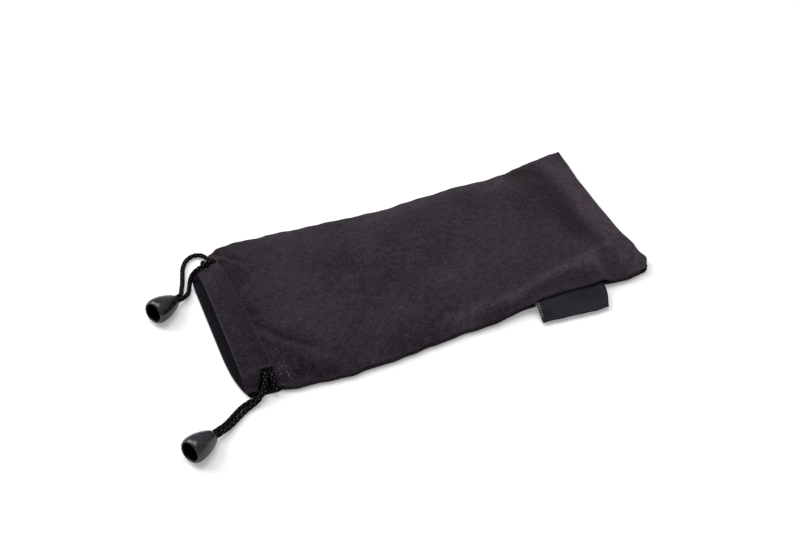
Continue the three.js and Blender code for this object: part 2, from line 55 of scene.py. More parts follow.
# Pouch, cloth and casing, as in the CAD part
POUCH_LENGTH = 181
POUCH_WIDTH = 85
BODY_HEIGHT = 8.5
CROWN_POWER = 4
TAIL_RISE = 24
TAIL_POWER = 2.4
NECK_LENGTH = 15
TAIL_HOLLOW = 2.5
TAIL_HOLLOW_PLACE = 0.1
TAIL_HOLLOW_POWER = 1.4
TAIL_SLACK = 0.8        # a little more of the hollow and small waves, which the CAD part leaves out
TAIL_WAVES = [(-1, 0), (-0.92, 0.5), (-0.8, -0.45), (-0.66, 0.55), (-0.47, -0.7), (-0.25, -0.4), (0, -0.6),
              (0.25, -0.45), (0.45, -0.75), (0.66, -0.25), (0.75, 0.1), (1, 0)]
MOUTH_LEAN = 1.0
BACK_MOUTH_PEAK = 0.4
MOUTH_CORNER_ROUND = 4
FRONT_SETBACK = 3.4
CORNER_CUT = 2.4
CLOTH = 0.45
LAYER_GAP = 0.3
ALLOWANCE = 7
EDGE_LIFT = 0.4
EDGE_LIFT_FROM = 0.8
TAIL_LIFT_LENGTH = 12
LABEL_LIFT = 2.2
LABEL_LIFT_SPREAD = 22
LABEL_LIFT_OFFSET = 8
CASING_DEPTH = 10.5
CASING_LEAN = 1.0
MOUTH_FOLD_GAP = 1.0
CORD_CLEARANCE = 0.25
LANE_GAP = 0.35
TUNNEL_TAPER = 0.8
NEAR_SLIT_DEPTH = 5.5
FAR_SLIT_DEPTH = 10.5
SLIT_MARGIN = 0.3
NEAR_SLIT_SPREAD = 3
FAR_SLIT_SPREAD = 1.3
CASING_SPACE = 0.6
NEAR_END_LOFT = 0
FAR_END_LOFT = 1.2
FAR_SHUT_FROM = 0.58
FAR_SHUT_SPACE = 2.2
NECK_OPENING = 4.1
STITCH_RECESS = 0.75
STITCH_RECESS_HALF = 0.8
HEM_PAST_STITCH = 1.2
FAR_SLIT_DRAPE = 1.3    # how far the cloth hangs over the far slit from its tail side
NAP_THICKNESS = 0.08    # what the pile adds to the cloth
WELD = 2e-6             # points of a panel that are nearer than this, in metres, are one

# Cords, bells, thread and label, as in the CAD part
CORD_DIAMETER = 2.0
STRAND_PITCH = 2.15
BELL_LENGTH = 12
BELL_NARROW_RADIUS = 2.8
BELL_WIDE_RADIUS = 5.2
BELL_WIDEST = 9.2
BELL_BORE_RADIUS = 2.4
BELL_BORE_LENGTH = 2.6
BELL_CAVITY_RADIUS = 4.0
BELL_LIP_RADIUS = 3.85
BELL_SHOULDER = 2.2
BELL_CHAMFER = 0.15
BELL_TILT = 0.21
BRIDGE_DROOP = 0.7
PARTING_RISE = 0.03     # fine line where the halves of the mould met
PARTING_HALF = 0.05
PARTING_ANGLES = (0.7, 0.7 + math.pi)
KNOT_PLACE = 6.3
KNOT_HALF = 2.1
THREAD_DIAMETER = 0.4
THREAD_GAP = 0.22
THREAD_SINK = 0.18
LABEL_WIDTH = 30
LABEL_REACH = 9
LABEL_FROM_TAIL = 24.4
LABEL_SKEW = 0.1
LABEL_TAIL_LEAN = 0.2
LABEL_SPLAY = 2.2
LABEL_FOLD_Z = 1.3
LABEL_MARGIN = 6
RIBBON = 0.32
RIBBON_GAP = 0.2
RIBBON_CLEARANCE = 0.3

BACK_MOUTH_X = -POUCH_LENGTH / 2
TAIL_X = POUCH_LENGTH / 2
FRONT_MOUTH_X = BACK_MOUTH_X + FRONT_SETBACK
TOPSTITCH_X = FRONT_MOUTH_X + CASING_DEPTH
CORD_RADIUS = CORD_DIAMETER / 2
LANE_TAIL_X = TOPSTITCH_X - TUNNEL_TAPER - CORD_RADIUS - CORD_CLEARANCE
LANE_MOUTH_X = LANE_TAIL_X - CORD_DIAMETER - LANE_GAP
SLIT_TAIL_X = LANE_TAIL_X + CORD_RADIUS + SLIT_MARGIN
SLIT_MOUTH_X = LANE_MOUTH_X - CORD_RADIUS - SLIT_MARGIN
LAYER_PITCH = CLOTH + LAYER_GAP
TUNNEL_ROOM = CORD_DIAMETER + 2 * CORD_CLEARANCE
CASING_HEIGHT = 2 * CLOTH + TUNNEL_ROOM
FOLD_RADIUS = LAYER_PITCH / 2
SEAM_STACK = 2 * LAYER_PITCH + CLOTH + LAYER_GAP
CASING_END_TOP = EDGE_LIFT + CLOTH + LAYER_PITCH + LAYER_GAP
RIBBON_STACK = 2 * RIBBON + RIBBON_GAP
LABEL_END_X = TAIL_X - LABEL_FROM_TAIL
LABEL_START_X = LABEL_END_X - LABEL_WIDTH

# Side seams drawn in from the full width, at shares of the length
NEAR_DRAWN = [(0, 4.2), (0.08, 2.8), (0.125, 1), (0.25, -1.2), (0.55, 1), (0.71, 2.2),
              (0.86, 2.3), (0.925, 1.7), (0.965, 2.4), (1, 2)]
FAR_DRAWN = [(0, 10), (0.025, 8), (0.06, 3), (0.09, 0.4), (0.135, -1.1), (0.2, 0),
             (0.35, 2.6), (0.5, 5.3), (0.6, 4.2), (0.7, 4.2), (0.79, 4.9), (0.87, 2.9), (1, 0.2)]

# Cords: hidden lane, side they come out, bell, and each strand's route
CORDS = {
    "near": dict(
        lane=LANE_MOUTH_X, side=-1, narrow_end=(-107.3, -53.1), heading=209.2, straight=8.2,
        outer="front", bridge=8.7, bridge_lean=1.3,
        front=[(-80.9, -37.8, 6.5), (-82.1, -39.6, 4.9), (-83.9, -41.2, 3.3), (-86, -42.5, 2),
               (-88.3, -43.2, 1.3), (-90.7, -44.1, 1.08), (-93.1, -45.4, 1.05)],
        back=[(-80.8, -37.4, 1.6), (-82.4, -39.2, 1.45), (-84.4, -40.2, 1.2), (-86.6, -40.6, 1.08),
              (-89.4, -41.2, 1.05), (-92.6, -42.4, 1.05)]),
    "far": dict(
        lane=LANE_TAIL_X, side=1, narrow_end=(-100.3, 20.2), heading=209.1, straight=4.6,
        outer="back", bridge=6.5, bridge_lean=0,
        front=[(-80.2, 31, 8.1), (-81.9, 30, 9.4), (-83.9, 29.5, 9.2), (-85.8, 30, 7.9),
               (-87.6, 30.7, 6.2), (-89.2, 30.7, 4.6), (-90.5, 29.8, 3.1), (-91.5, 28.1, 1.95),
               (-92.4, 26.1, 1.4), (-93.6, 23.9, 1.5)],
        back=[(-79.9, 34.2, 1.65), (-79.9, 37.6, 1.55), (-80.1, 41.2, 1.3), (-81.8, 44.1, 1.1),
              (-85, 45.1, 1.05), (-88.4, 43.5, 1.05), (-91.1, 39.6, 1.05), (-92.7, 34.8, 1.05),
              (-93.9, 31, 1.1), (-95, 28.2, 1.3)]),
}


# Small helpers
def mix(a, b, t):
    return a + (b - a) * t


def clamp01(t):
    return np.clip(t, 0.0, 1.0)


def smooth(t, low, high):
    t = clamp01((t - low) / (high - low))
    return t * t * (3 - 2 * t)


def window(t, start, full, last, end):
    """Rises from start to full, and falls from last to end."""
    return smooth(t, start, full) * smooth(-t, -end, -last)


def bell_curve(t):
    return np.exp(-t * t)


def stack(*parts):
    """The parts side by side in a last axis."""
    return np.stack(np.broadcast_arrays(*parts), axis=-1)


def half_turn(share):
    """How far out and how far over, from 0 to 1 and from 0 to 2, round a fold."""
    return math.sin(math.pi * share), 1 - math.cos(math.pi * share)


def run_along(path):
    """Distance from the start at each point of the path."""
    return np.concatenate([[0], np.cumsum(np.linalg.norm(np.diff(path, axis=0), axis=1))])


def points_at(places, run, path):
    return stack(*(np.interp(places, run, path[:, k]) for k in range(3)))


def along(table, share):
    at, value = np.array(table, float).T
    k = np.clip(np.searchsorted(at, share), 1, len(at) - 1)
    return mix(value[k - 1], value[k], smooth(share, at[k - 1], at[k]))


# Outline and heights of the cloth, as in the CAD part; v is -1 at the near seam and 1 at the far
def length_share(x):
    return clamp01((x - BACK_MOUTH_X) / POUCH_LENGTH)


def puckers(x, phase):
    """Small scallops of a side seam, which the CAD part leaves out."""
    small = 0.2 * np.sin(x / 1.7 + phase) * np.sin(x / 9.1 + phase)
    large = 0.32 * np.sin(x / 4.3 + 2 * phase) * np.sin(x / 17 + phase)
    return window(x, -70, -60, 78, 85) * (small + large)


def near_y(x):
    rounding = CORNER_CUT * smooth(x, TAIL_X - 2.5 * CORNER_CUT, TAIL_X) ** 2
    return -POUCH_WIDTH / 2 + along(NEAR_DRAWN, length_share(x)) + rounding + puckers(x, 0.7)


def far_y(x):
    return POUCH_WIDTH / 2 - along(FAR_DRAWN, length_share(x)) - puckers(x, 2.9)


def across_y(x, v):
    return mix(near_y(x), far_y(x), (v + 1) / 2)


def across_v(x, y):
    return 2 * (y - near_y(x)) / (far_y(x) - near_y(x)) - 1


def crown(v):
    return 1 - np.abs(v) ** CROWN_POWER


def tail_at(v):
    hollow = TAIL_HOLLOW * (1 - np.abs(v - TAIL_HOLLOW_PLACE) ** TAIL_HOLLOW_POWER)
    slack = TAIL_SLACK * bell_curve((v + 0.3) / 0.55)
    return TAIL_X - hollow - slack + along(TAIL_WAVES, v) - CORNER_CUT * smooth(-v, 0.85, 1) ** 2


def front_mouth_at(v):
    return FRONT_MOUTH_X + MOUTH_LEAN * v


def back_mouth_at(v):
    return (BACK_MOUTH_X + MOUTH_LEAN * (v + BACK_MOUTH_PEAK)
            + MOUTH_CORNER_ROUND * np.maximum(-v, 0) ** 4)


def leaning(x, v):
    return x - CASING_LEAN * v


# Shares of the half width over which the slits run in from the side seams
LANE_SPAN = float(far_y(LANE_TAIL_X) - near_y(LANE_TAIL_X))
NEAR_SLIT_V = 2 * NEAR_SLIT_DEPTH / LANE_SPAN
FAR_SLIT_V = 2 * FAR_SLIT_DEPTH / LANE_SPAN
BETWEEN_SLITS = (-1 + NEAR_SLIT_V, 1 - FAR_SLIT_V)


def end_share(v):
    return smooth(-v, 1 - NEAR_SLIT_V, 1) + smooth(v, 1 - FAR_SLIT_V, 1)


def slit_mouth_at(v):
    spread = np.where(v < 0, NEAR_SLIT_SPREAD, FAR_SLIT_SPREAD)
    return leaning(SLIT_MOUTH_X, v) - spread * end_share(v)


def at_label(x):
    return window(x, LABEL_START_X - LABEL_MARGIN, LABEL_START_X, LABEL_END_X, LABEL_END_X + LABEL_MARGIN)


def back_z(x, v):
    bump = bell_curve((x - LABEL_START_X - LABEL_LIFT_OFFSET) / LABEL_LIFT_SPREAD)
    side = smooth(np.abs(v), EDGE_LIFT_FROM, 1) * (EDGE_LIFT + np.where(v < 0, LABEL_LIFT * bump, 0))
    tail = EDGE_LIFT * smooth(x, TAIL_X - TAIL_LIFT_LENGTH, TAIL_X)
    past = np.abs(x - leaning(TOPSTITCH_X, v))
    stitch = STITCH_RECESS * smooth(-past, -STITCH_RECESS_HALF, -THREAD_DIAMETER) * (1 - end_share(v))
    return CLOTH / 2 + np.maximum(np.maximum(side, tail), stitch)


def seam_top_z(x, v):
    room = (RIBBON_STACK - LAYER_GAP + 2 * RIBBON_CLEARANCE) * at_label(x)
    return back_z(x, np.sign(v)) + SEAM_STACK + np.where(v < 0, room, 0)


def neck_z(v):
    shut = clamp01((v - FAR_SHUT_FROM) / (1 - FAR_SLIT_V - FAR_SHUT_FROM))
    space = mix(CASING_SPACE + NECK_OPENING * crown(v), FAR_SHUT_SPACE, shut)
    end = CASING_END_TOP + np.where(v < 0, NEAR_END_LOFT, FAR_END_LOFT)
    return mix(CASING_HEIGHT + space, end, end_share(v))


def front_hem_z(x, v):
    return neck_z(v) + CLOTH / 2 + 0 * x


def tail_fall(x):
    return 1 - clamp01((x - TAIL_X + TAIL_RISE) / TAIL_RISE) ** TAIL_POWER


def front_z(x, v):
    edge = np.maximum(seam_top_z(x, v), back_z(x, 0 * v) + SEAM_STACK)
    body = mix(edge, BODY_HEIGHT - CLOTH / 2, crown(v) * tail_fall(x))
    stitch = leaning(TOPSTITCH_X, v)
    return mix(body, front_hem_z(x, v) + LAYER_PITCH, smooth(-x, -stitch - NECK_LENGTH, -stitch))


def tunnel_gap(x, v, fold_x):
    room = mix(TUNNEL_ROOM, LAYER_GAP, end_share(v))
    straight = x + CASING_LEAN * v
    closing = clamp01((straight - SLIT_TAIL_X) / (TOPSTITCH_X - SLIT_TAIL_X))
    folding = clamp01((x - fold_x) / (slit_mouth_at(v) - fold_x))
    fold = mix(MOUTH_FOLD_GAP, LAYER_GAP, end_share(v))
    return np.where(straight >= SLIT_TAIL_X - 1e-6, mix(room, LAYER_GAP, closing), mix(fold, room, folding))


def front_outer_z(x, v):
    return front_hem_z(x, v) + CLOTH + tunnel_gap(x, v, front_mouth_at(v))


def back_hem_z(x, v):
    return back_z(x, v) + CLOTH + tunnel_gap(x, v, back_mouth_at(v))


# Objects and meshes
def add_object(name, data):
    obj = bpy.data.objects.new(name, data)
    bpy.context.scene.collection.objects.link(obj)
    return obj


def aim(obj, place, direction):
    """Puts a camera or a light at the place, looking in the direction."""
    obj.location = place
    obj.rotation_mode = "QUATERNION"
    obj.rotation_quaternion = Vector(direction).to_track_quat("-Z", "Y")


def mesh_object(name, points, faces, material):
    mesh = bpy.data.meshes.new(name)
    mesh.from_pydata([tuple(p) for p in np.asarray(points) * MM], [], faces)
    mesh.materials.append(material)
    mesh.polygons.foreach_set("use_smooth", [True] * len(mesh.polygons))
    return add_object(name, mesh)


def mark(obj, name, values):
    """Stores a value at each point for the material to read."""
    attribute = obj.data.attributes.new(name, "FLOAT", "POINT")
    attribute.data.foreach_set("value", np.ravel(values).astype(np.float32))


def grid_faces(rows, columns, offset=0, skip=None):
    faces = []
    for r in range(rows - 1):
        for c in range(columns - 1):
            if skip is not None and skip[r, c]:
                continue
            a = offset + r * columns + c
            faces.append((a, a + columns, a + columns + 1, a + 1))
    return faces


def ring_faces(rings, sides, closed=False):
    """Faces between rings of points. closed joins the last ring to the first."""
    faces = []
    for r in range(rings if closed else rings - 1):
        near, far = r * sides, (r + 1) % rings * sides
        for c in range(sides):
            after = (c + 1) % sides
            faces.append((near + c, near + after, far + after, far + c))
    return faces


def solidify(obj, thickness):
    modifier = obj.modifiers.new("solidify", "SOLIDIFY")
    modifier.thickness = thickness * MM
    modifier.offset = 0.0
    graph = bpy.context.evaluated_depsgraph_get()
    mesh = bpy.data.meshes.new_from_object(obj.evaluated_get(graph))
    obj.modifiers.clear()
    obj.data = mesh


def outward(obj, weld=False):
    """Turns the faces outward. weld joins points that meet and drops those without a face."""
    shape = bmesh.new()
    shape.from_mesh(obj.data)
    if weld:
        bmesh.ops.remove_doubles(shape, verts=shape.verts, dist=WELD)
        loose = [p for p in shape.verts if not p.link_faces]
        bmesh.ops.delete(shape, geom=loose, context="VERTS")
    bmesh.ops.recalc_face_normals(shape, faces=shape.faces)
    shape.to_mesh(obj.data)
    shape.free()


def join(parts, name):
    """Joins meshes into one, keeping their attributes."""
    with bpy.context.temp_override(active_object=parts[0], object=parts[0],
                                   selected_objects=parts, selected_editable_objects=parts):
        bpy.ops.object.join()
    parts[0].name = name
    return parts[0]


def dress(obj, node, body="pouch"):
    """The piece moves with the body and stands for the node."""
    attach(obj, body)
    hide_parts(node)


def catmull(points, spacing):
    """Centripetal Catmull-Rom curve through the points, at an even spacing."""
    p = np.array(points, float)
    p = np.vstack([2 * p[0] - p[1], p, 2 * p[-1] - p[-2]])
    dense = []
    for k in range(1, len(p) - 2):
        a, b, c, d = p[k - 1:k + 3]
        t1 = np.linalg.norm(b - a) ** 0.5
        t2 = t1 + np.linalg.norm(c - b) ** 0.5
        t3 = t2 + np.linalg.norm(d - c) ** 0.5
        t = np.linspace(t1, t2, 24, endpoint=False)[:, None]
        ab, bc, cd = mix(a, b, t / t1), mix(b, c, (t - t1) / (t2 - t1)), mix(c, d, (t - t2) / (t3 - t2))
        dense.append(mix(mix(ab, bc, t / t2), mix(bc, cd, (t - t1) / (t3 - t1)), (t - t1) / (t2 - t1)))
    dense = np.vstack(dense + [p[-2:-1]])
    run = run_along(dense)
    return points_at(np.linspace(0, run[-1], max(3, round(run[-1] / spacing))), run, dense)


def frames(path):
    """Side and up at each point, turning as little as possible along the path."""
    tangent = np.gradient(path, axis=0)
    tangent /= np.linalg.norm(tangent, axis=1)[:, None]
    side = np.cross(tangent[0], (0, 0, 1.0) if abs(tangent[0][2]) < 0.9 else (1.0, 0, 0))
    sides = []
    for t in tangent:
        side = side - t * side.dot(t)
        side /= np.linalg.norm(side)
        sides.append(side)
    sides = np.array(sides)
    return sides, np.cross(tangent, sides)


def tube(name, path, shape_at, sides, material, plaited=False):
    """Closed tube along the path. shape_at gives the radius and the plait's height at (turn, run)."""
    side, up = frames(path)
    shares, runs = np.meshgrid(np.arange(sides) / sides, run_along(path))
    radius, height = shape_at(shares, runs)
    out = (np.cos(2 * math.pi * shares)[..., None] * side[:, None]
           + np.sin(2 * math.pi * shares)[..., None] * up[:, None])
    points = (path[:, None] + radius[..., None] * out).reshape(-1, 3)
    last = (len(path) - 1) * sides
    faces = ring_faces(len(path), sides) + [tuple(reversed(range(sides))), tuple(range(last, last + sides))]
    obj = mesh_object(name, points, faces, material)
    if plaited:
        mark(obj, "plait", height)
    return obj


def plain(radius, height=0.0):
    """For tube: the same shape all round."""
    return lambda share, run: (radius + 0 * share, height + 0 * share)


# Braided cord: eight plaits, four each way round, that pass over and under each other
BRAID_STRANDS = 4
BRAID_PITCH = 2.5
BRAID_RELIEF = 0.11


def braid(share, run):
    a = share * BRAID_STRANDS + run / BRAID_PITCH
    b = share * BRAID_STRANDS - run / BRAID_PITCH
    over = (np.floor(a) + np.floor(b)) % 2 == 0
    across = np.where(over, a - np.floor(a), b - np.floor(b)) - 0.5
    length = np.where(over, b - np.floor(b), a - np.floor(a)) - 0.5
    height = np.cos(math.pi * across) * (0.55 + 0.45 * np.cos(math.pi * length))
    return CORD_RADIUS + BRAID_RELIEF * (height - 0.8), height


def braided(name, points, spacing=0.22):
    return tube(name, catmull(points, spacing), braid, 28, CORD, True)


# Shader nodes
class Nodes:
    """Fills the node tree of a material or a world."""

    def __init__(self, owner):
        owner.use_nodes = True
        self.owner = owner
        self.tree = owner.node_tree
        self.tree.nodes.clear()

    def feed(self, socket, value):
        if isinstance(value, bpy.types.NodeSocket):
            self.tree.links.new(value, socket)
        else:
            socket.default_value = value

    def put(self, node, **inputs):
        for key, value in inputs.items():
            self.feed(node.inputs[key.replace("_", " ")], value)

    def new(self, kind, settings=None, **inputs):
        node = self.tree.nodes.new("ShaderNode" + kind)
        for key, value in (settings or {}).items():
            setattr(node, key, value)
        self.put(node, **inputs)
        return node

    def row(self, kind, *values, **settings):
        """First output of a node whose inputs are fed in their order."""
        node = self.new(kind, settings)
        for socket, value in zip(node.inputs, values):
            self.feed(socket, value)
        return node.outputs[0]

    def math(self, operation, a, b):
        return self.row("Math", a, b, operation=operation)

    def times(self, a, b):
        return self.math("MULTIPLY", a, b)

    def step(self, value, low, high, to_low=0.0, to_high=1.0):
        return self.new("MapRange", {"interpolation_type": "SMOOTHSTEP"}, Value=value,
                        From_Min=low, From_Max=high, To_Min=to_low, To_Max=to_high).outputs[0]

    def blend(self, share, a, b, kind="MIX"):
        node = self.new("Mix", {"data_type": "RGBA", "blend_type": kind})
        for index, value in zip((0, 6, 7), (share, a, b)):
            self.feed(node.inputs[index], value)
        return node.outputs[2]

    def attribute(self, name):
        return self.new("Attribute", {"attribute_name": name}).outputs["Fac"]

    def for_camera(self, plain_shader, seen_shader):
        """The plain shader, and the seen one where the camera looks straight at it."""
        ray = self.new("LightPath").outputs["Is Camera Ray"]
        return self.row("MixShader", ray, plain_shader, seen_shader)


class Surface(Nodes):
    """A new material around one Principled shader. Sizes of its patterns are in millimetres."""

    def __init__(self, name):
        super().__init__(bpy.data.materials.new(name))
        self.shader = self.new("BsdfPrincipled")
        self.new("OutputMaterial", Surface=self.shader.outputs[0])
        self.where = self.new("TexCoord").outputs["Object"]

    def noise(self, size, detail, roughness, where=None):
        return self.new("TexNoise", Vector=where or self.where, Scale=1 / (size * MM),
                        Detail=detail, Roughness=roughness).outputs["Fac"]

    def wave(self, direction, size, distortion, detail):
        return self.new("TexWave", {"bands_direction": direction}, Vector=self.where,
                        Scale=1 / (size * MM), Distortion=distortion, Detail=detail).outputs["Fac"]

    def specks(self, size, above, edge, core):
        """Dots in the middle of those cells whose random red is above a value."""
        cells = self.new("TexVoronoi", Vector=self.where, Scale=1 / (size * MM), Randomness=1.0)
        red = self.new("SeparateColor", Color=cells.outputs["Color"]).outputs[0]
        chosen = self.math("GREATER_THAN", red, above)
        return self.times(self.step(cells.outputs["Distance"], edge, core), chosen)

    def done(self, base, roughness, gloss, height, depth, **sheen):
        """Sets the shader, with a bump of a depth in millimetres, and gives the material."""
        bump = self.new("Bump", Height=height, Strength=1.0, Distance=depth * MM)
        self.put(self.shader, Base_Color=base, Roughness=roughness, Specular_IOR_Level=gloss,
                 Normal=bump.outputs[0], **sheen)
        return self.owner


def colour(r, g, b):
    """sRGB from 0 to 255 as a linear colour."""
    def linear(c):
        c /= 255
        return c / 12.92 if c <= 0.04045 else ((c + 0.055) / 1.055) ** 2.4
    return (linear(r), linear(g), linear(b), 1.0)


def suede_material():
    n = Surface("suede_microfibre")
    cloud = n.noise(24, 3, 0.55)
    mottle = n.noise(2.6, 3, 0.6)
    fibre = n.noise(0.55, 3, 0.75)
    base = n.blend(n.step(cloud, 0.34, 0.66), colour(40, 33, 39), colour(52, 44, 50))
    base = n.blend(n.step(mottle, 0.4, 0.66, 0.0, 0.6), base, colour(63, 54, 61))
    base = n.blend(n.step(mottle, 0.5, 0.3, 0.0, 0.4), base, colour(33, 28, 34))
    base = n.blend(n.step(fibre, 0.5, 0.7, 0.0, 0.6), base, colour(88, 79, 87))
    base = n.blend(n.step(fibre, 0.48, 0.34, 0.0, 0.65), base, colour(20, 17, 21))
    # painted light and shade at each point, with some random tone: painted shade in creases, hollows, along
    # the near edge, towards the mouth and on the far side, and painted highlight on ridges
    painted_light_and_tone = n.attribute("painted_light_and_tone")
    shade = n.times(n.step(painted_light_and_tone, 0.0, 0.5, 0.3, 1.0), n.step(painted_light_and_tone, 0.5, 1.0, 1.0, 1.9))
    base = n.blend(1.0, base, shade, "MULTIPLY")
    # cloth darkened by painted shade keeps its grain
    shaded = n.step(painted_light_and_tone, 0.5, 0.2)
    base = n.blend(n.times(n.step(fibre, 0.5, 0.66, 0.0, 0.42), shaded), base, colour(88, 79, 87))
    base = n.blend(n.times(n.step(fibre, 0.5, 0.36, 0.0, 0.6), shaded), base, colour(9, 7, 9))
    # painted shade: the inner faces seen in the mouth are darkened almost to black
    base = n.blend(n.times(n.attribute("inside"), 0.93), base, colour(8, 8, 17))
    lint = n.specks(3.0, 0.8, 0.09, 0.04)
    tint = n.blend(n.step(n.noise(11, 2, 0.5), 0.38, 0.62), (0.76, 0.71, 0.78, 1), (0.68, 0.71, 0.79, 1))
    base = n.blend(1.0, base, tint, "MULTIPLY")
    base = n.blend(n.times(lint, 0.4), base, colour(140, 132, 140))
    loose_ends = n.times(n.specks(0.8, 0.5, 0.34, 0.2), n.attribute("fray"))
    base = n.blend(loose_ends, base, colour(176, 170, 176))
    grain = n.math("ADD", n.times(fibre, 0.8), n.times(mottle, 0.8))
    return n.done(base, 0.95, 0.12, grain, 0.42,
                  Sheen_Weight=0.16, Sheen_Roughness=0.5, Sheen_Tint=colour(190, 176, 186))


def cord_material():
    n = Surface("braided_cord")
    plait = n.attribute("plait")
    fuzz = n.noise(0.3, 2, 0.7)
    # darker in the braid's grooves as painted shade, with pale dashes on the plaits' crests as painted
    # highlights
    base = n.blend(n.step(plait, 0.3, 0.9), colour(1, 1, 2), colour(10, 10, 13))
    crest_glint = n.times(n.step(plait, 0.8, 0.95), n.step(fuzz, 0.4, 0.54))
    base = n.blend(n.times(crest_glint, 0.8), base, colour(108, 106, 108))
    return n.done(base, 0.85, 0.08, fuzz, 0.06, Sheen_Weight=0.01, Sheen_Roughness=0.5)


def thread_material(name, dark, light):
    n = Surface(name)
    twist = n.wave("DIAGONAL", 0.9, 1.0, 2.0)
    return n.done(n.blend(twist, dark, light), 0.7, 0.3, twist, 0.04, Sheen_Weight=0.1)


def plastic_material():
    n = Surface("bell_plastic")
    cloud = n.noise(3.0, 3, 0.6)
    fine = n.noise(0.18, 2, 0.6)
    # pale streaks drawn out along one axis: painted highlights standing in for streaky reflections
    drawn_out = n.new("Mapping", Vector=n.where, Scale=(1, 6, 1)).outputs[0]
    highlight_streaks = n.noise(1.1, 4.0, 0.7, drawn_out)
    base = n.blend(n.step(cloud, 0.35, 0.65), colour(27, 25, 30), colour(44, 41, 47))
    base = n.blend(n.step(highlight_streaks, 0.56, 0.7, 0.0, 0.5), base, colour(84, 80, 87))
    # painted shade: the bell's cavity is darkened almost to black
    base = n.blend(n.step(n.attribute("hollow"), 0.0, 1.0, 0.0, 0.92), base, colour(6, 6, 8))
    return n.done(base, n.step(cloud, 0.3, 0.7, 0.14, 0.3), 0.6, fine, 0.012)


def ribbon_material():
    n = Surface("woven_ribbon")
    ribs = n.wave("X", 1.9, 0.25, 1.0)
    weft = n.wave("Y", 1.5, 0.25, 1.0)
    cloud = n.noise(7, 2, 0.5)
    weave = n.times(ribs, weft)
    base = n.blend(n.step(cloud, 0.3, 0.7), colour(14, 15, 21), colour(29, 30, 39))
    base = n.blend(n.times(weave, 0.25), base, colour(44, 46, 58))
    return n.done(base, 0.65, 0.2, weave, 0.05, Sheen_Weight=0.04, Sheen_Roughness=0.4)


SUEDE = suede_material()
CORD = cord_material()
PLASTIC = plastic_material()
RIBBON_STUFF = ribbon_material()
THREAD = thread_material("sewing_thread", colour(36, 31, 37), colour(56, 49, 56))
TACK_THREAD = thread_material("tack_thread", colour(24, 21, 25), colour(60, 53, 60))
FRAY_THREAD = thread_material("ribbon_edge_thread", colour(66, 64, 60), colour(196, 192, 180))
DARK_FRAY_THREAD = thread_material("ribbon_edge_dark_thread", colour(30, 26, 24), colour(84, 76, 66))

# Camera, where the photograph was taken from
CAMERA_PLACE = (-163.5, -356.6, 386.7)
CAMERA_FORWARD = (0.285, 0.654, -0.700)
camera_data = bpy.data.cameras.new("camera")
camera_data.lens = 58.5
camera_data.sensor_width = 36
camera_data.clip_start = 0.01
camera_data.clip_end = 20
camera = add_object("camera", camera_data)
aim(camera, Vector(CAMERA_PLACE) * MM, CAMERA_FORWARD)
bpy.context.scene.camera = camera


# Bells: the axis climbs towards the mouth, because a bell lies on its side
def bell_profile():
    """Radius and place along the axis, round the section from the bore and back to it."""
    rim = BELL_LENGTH - BELL_WIDEST

    def barrel(share):
        return (mix(BELL_NARROW_RADIUS, BELL_WIDE_RADIUS, math.sin(math.pi / 2 * share)), share * BELL_WIDEST)
    outline = [(BELL_BORE_RADIUS, BELL_CHAMFER), (BELL_BORE_RADIUS + BELL_CHAMFER, 0),
               (BELL_NARROW_RADIUS - BELL_CHAMFER, 0), (BELL_NARROW_RADIUS, 2 * BELL_CHAMFER)]
    outline += [barrel(share) for share in (0.08, 0.16, 0.24, 0.32, 0.4, 0.5, 0.6, 0.7, 0.8, 0.9)]
    lip = BELL_LIP_RADIUS + 2 * BELL_CHAMFER
    for share in (0, 0.15, 0.3, 0.45, 0.6, 0.72, 0.85, 0.93, 1):
        angle = math.pi / 2 * share
        outline.append((mix(lip, BELL_WIDE_RADIUS, math.cos(angle)), BELL_WIDEST + rim * math.sin(angle)))
    lip_start = BELL_LENGTH - 2 * BELL_CHAMFER
    outline += [(BELL_LIP_RADIUS, lip_start), (BELL_LIP_RADIUS, lip_start - 0.5),
                (BELL_CAVITY_RADIUS, lip_start - 1.0), (BELL_CAVITY_RADIUS, BELL_BORE_LENGTH + BELL_SHOULDER),
                (BELL_BORE_RADIUS, BELL_BORE_LENGTH), (BELL_BORE_RADIUS, BELL_CHAMFER)]
    return outline


BELL_NARROW_Z = max(r * math.cos(BELL_TILT) - y * math.sin(BELL_TILT) for r, y in bell_profile())


def bell_frame(cord):
    turn = math.radians(cord["heading"])
    level = np.array([math.cos(turn), math.sin(turn), 0])
    start = np.array([*cord["narrow_end"], BELL_NARROW_Z])
    axis = level * math.cos(BELL_TILT) + np.array([0, 0, math.sin(BELL_TILT)])
    return start, axis, np.array([-level[1], level[0], 0])


# Routes of the cords
BACK_LANE_Z = CLOTH + CORD_CLEARANCE + CORD_RADIUS


def lane_spot(lane, casing, v):
    x = leaning(lane, v)
    front = float(front_hem_z(x, v)) + CLOTH / 2 + CORD_CLEARANCE + CORD_RADIUS
    return np.array([x, float(across_y(x, v)), front if casing == "front" else BACK_LANE_Z])


LANE_ROWS = np.linspace(*BETWEEN_SLITS, 11)


def strand_route(cord, casing):
    start, axis, across = bell_frame(cord)
    ends = LANE_ROWS[1::-1] if cord["side"] < 0 else LANE_ROWS[-2:]
    before, last = (lane_spot(cord["lane"], casing, v) for v in ends)
    out = (last - before) / np.linalg.norm(last - before)
    sideways = (-1 if casing == cord["outer"] else 1) * cord["side"] * STRAND_PITCH / 2
    knot_end = KNOT_PLACE - KNOT_HALF - LAYER_GAP
    steps = (-cord["straight"], -cord["straight"] / 2, 0, knot_end / 2, knot_end)
    return ([tuple(last + out * LAYER_GAP), tuple(last + out * (LAYER_GAP + CORD_RADIUS))] + cord[casing]
            + [tuple(start + axis * s + across * sideways) for s in steps])


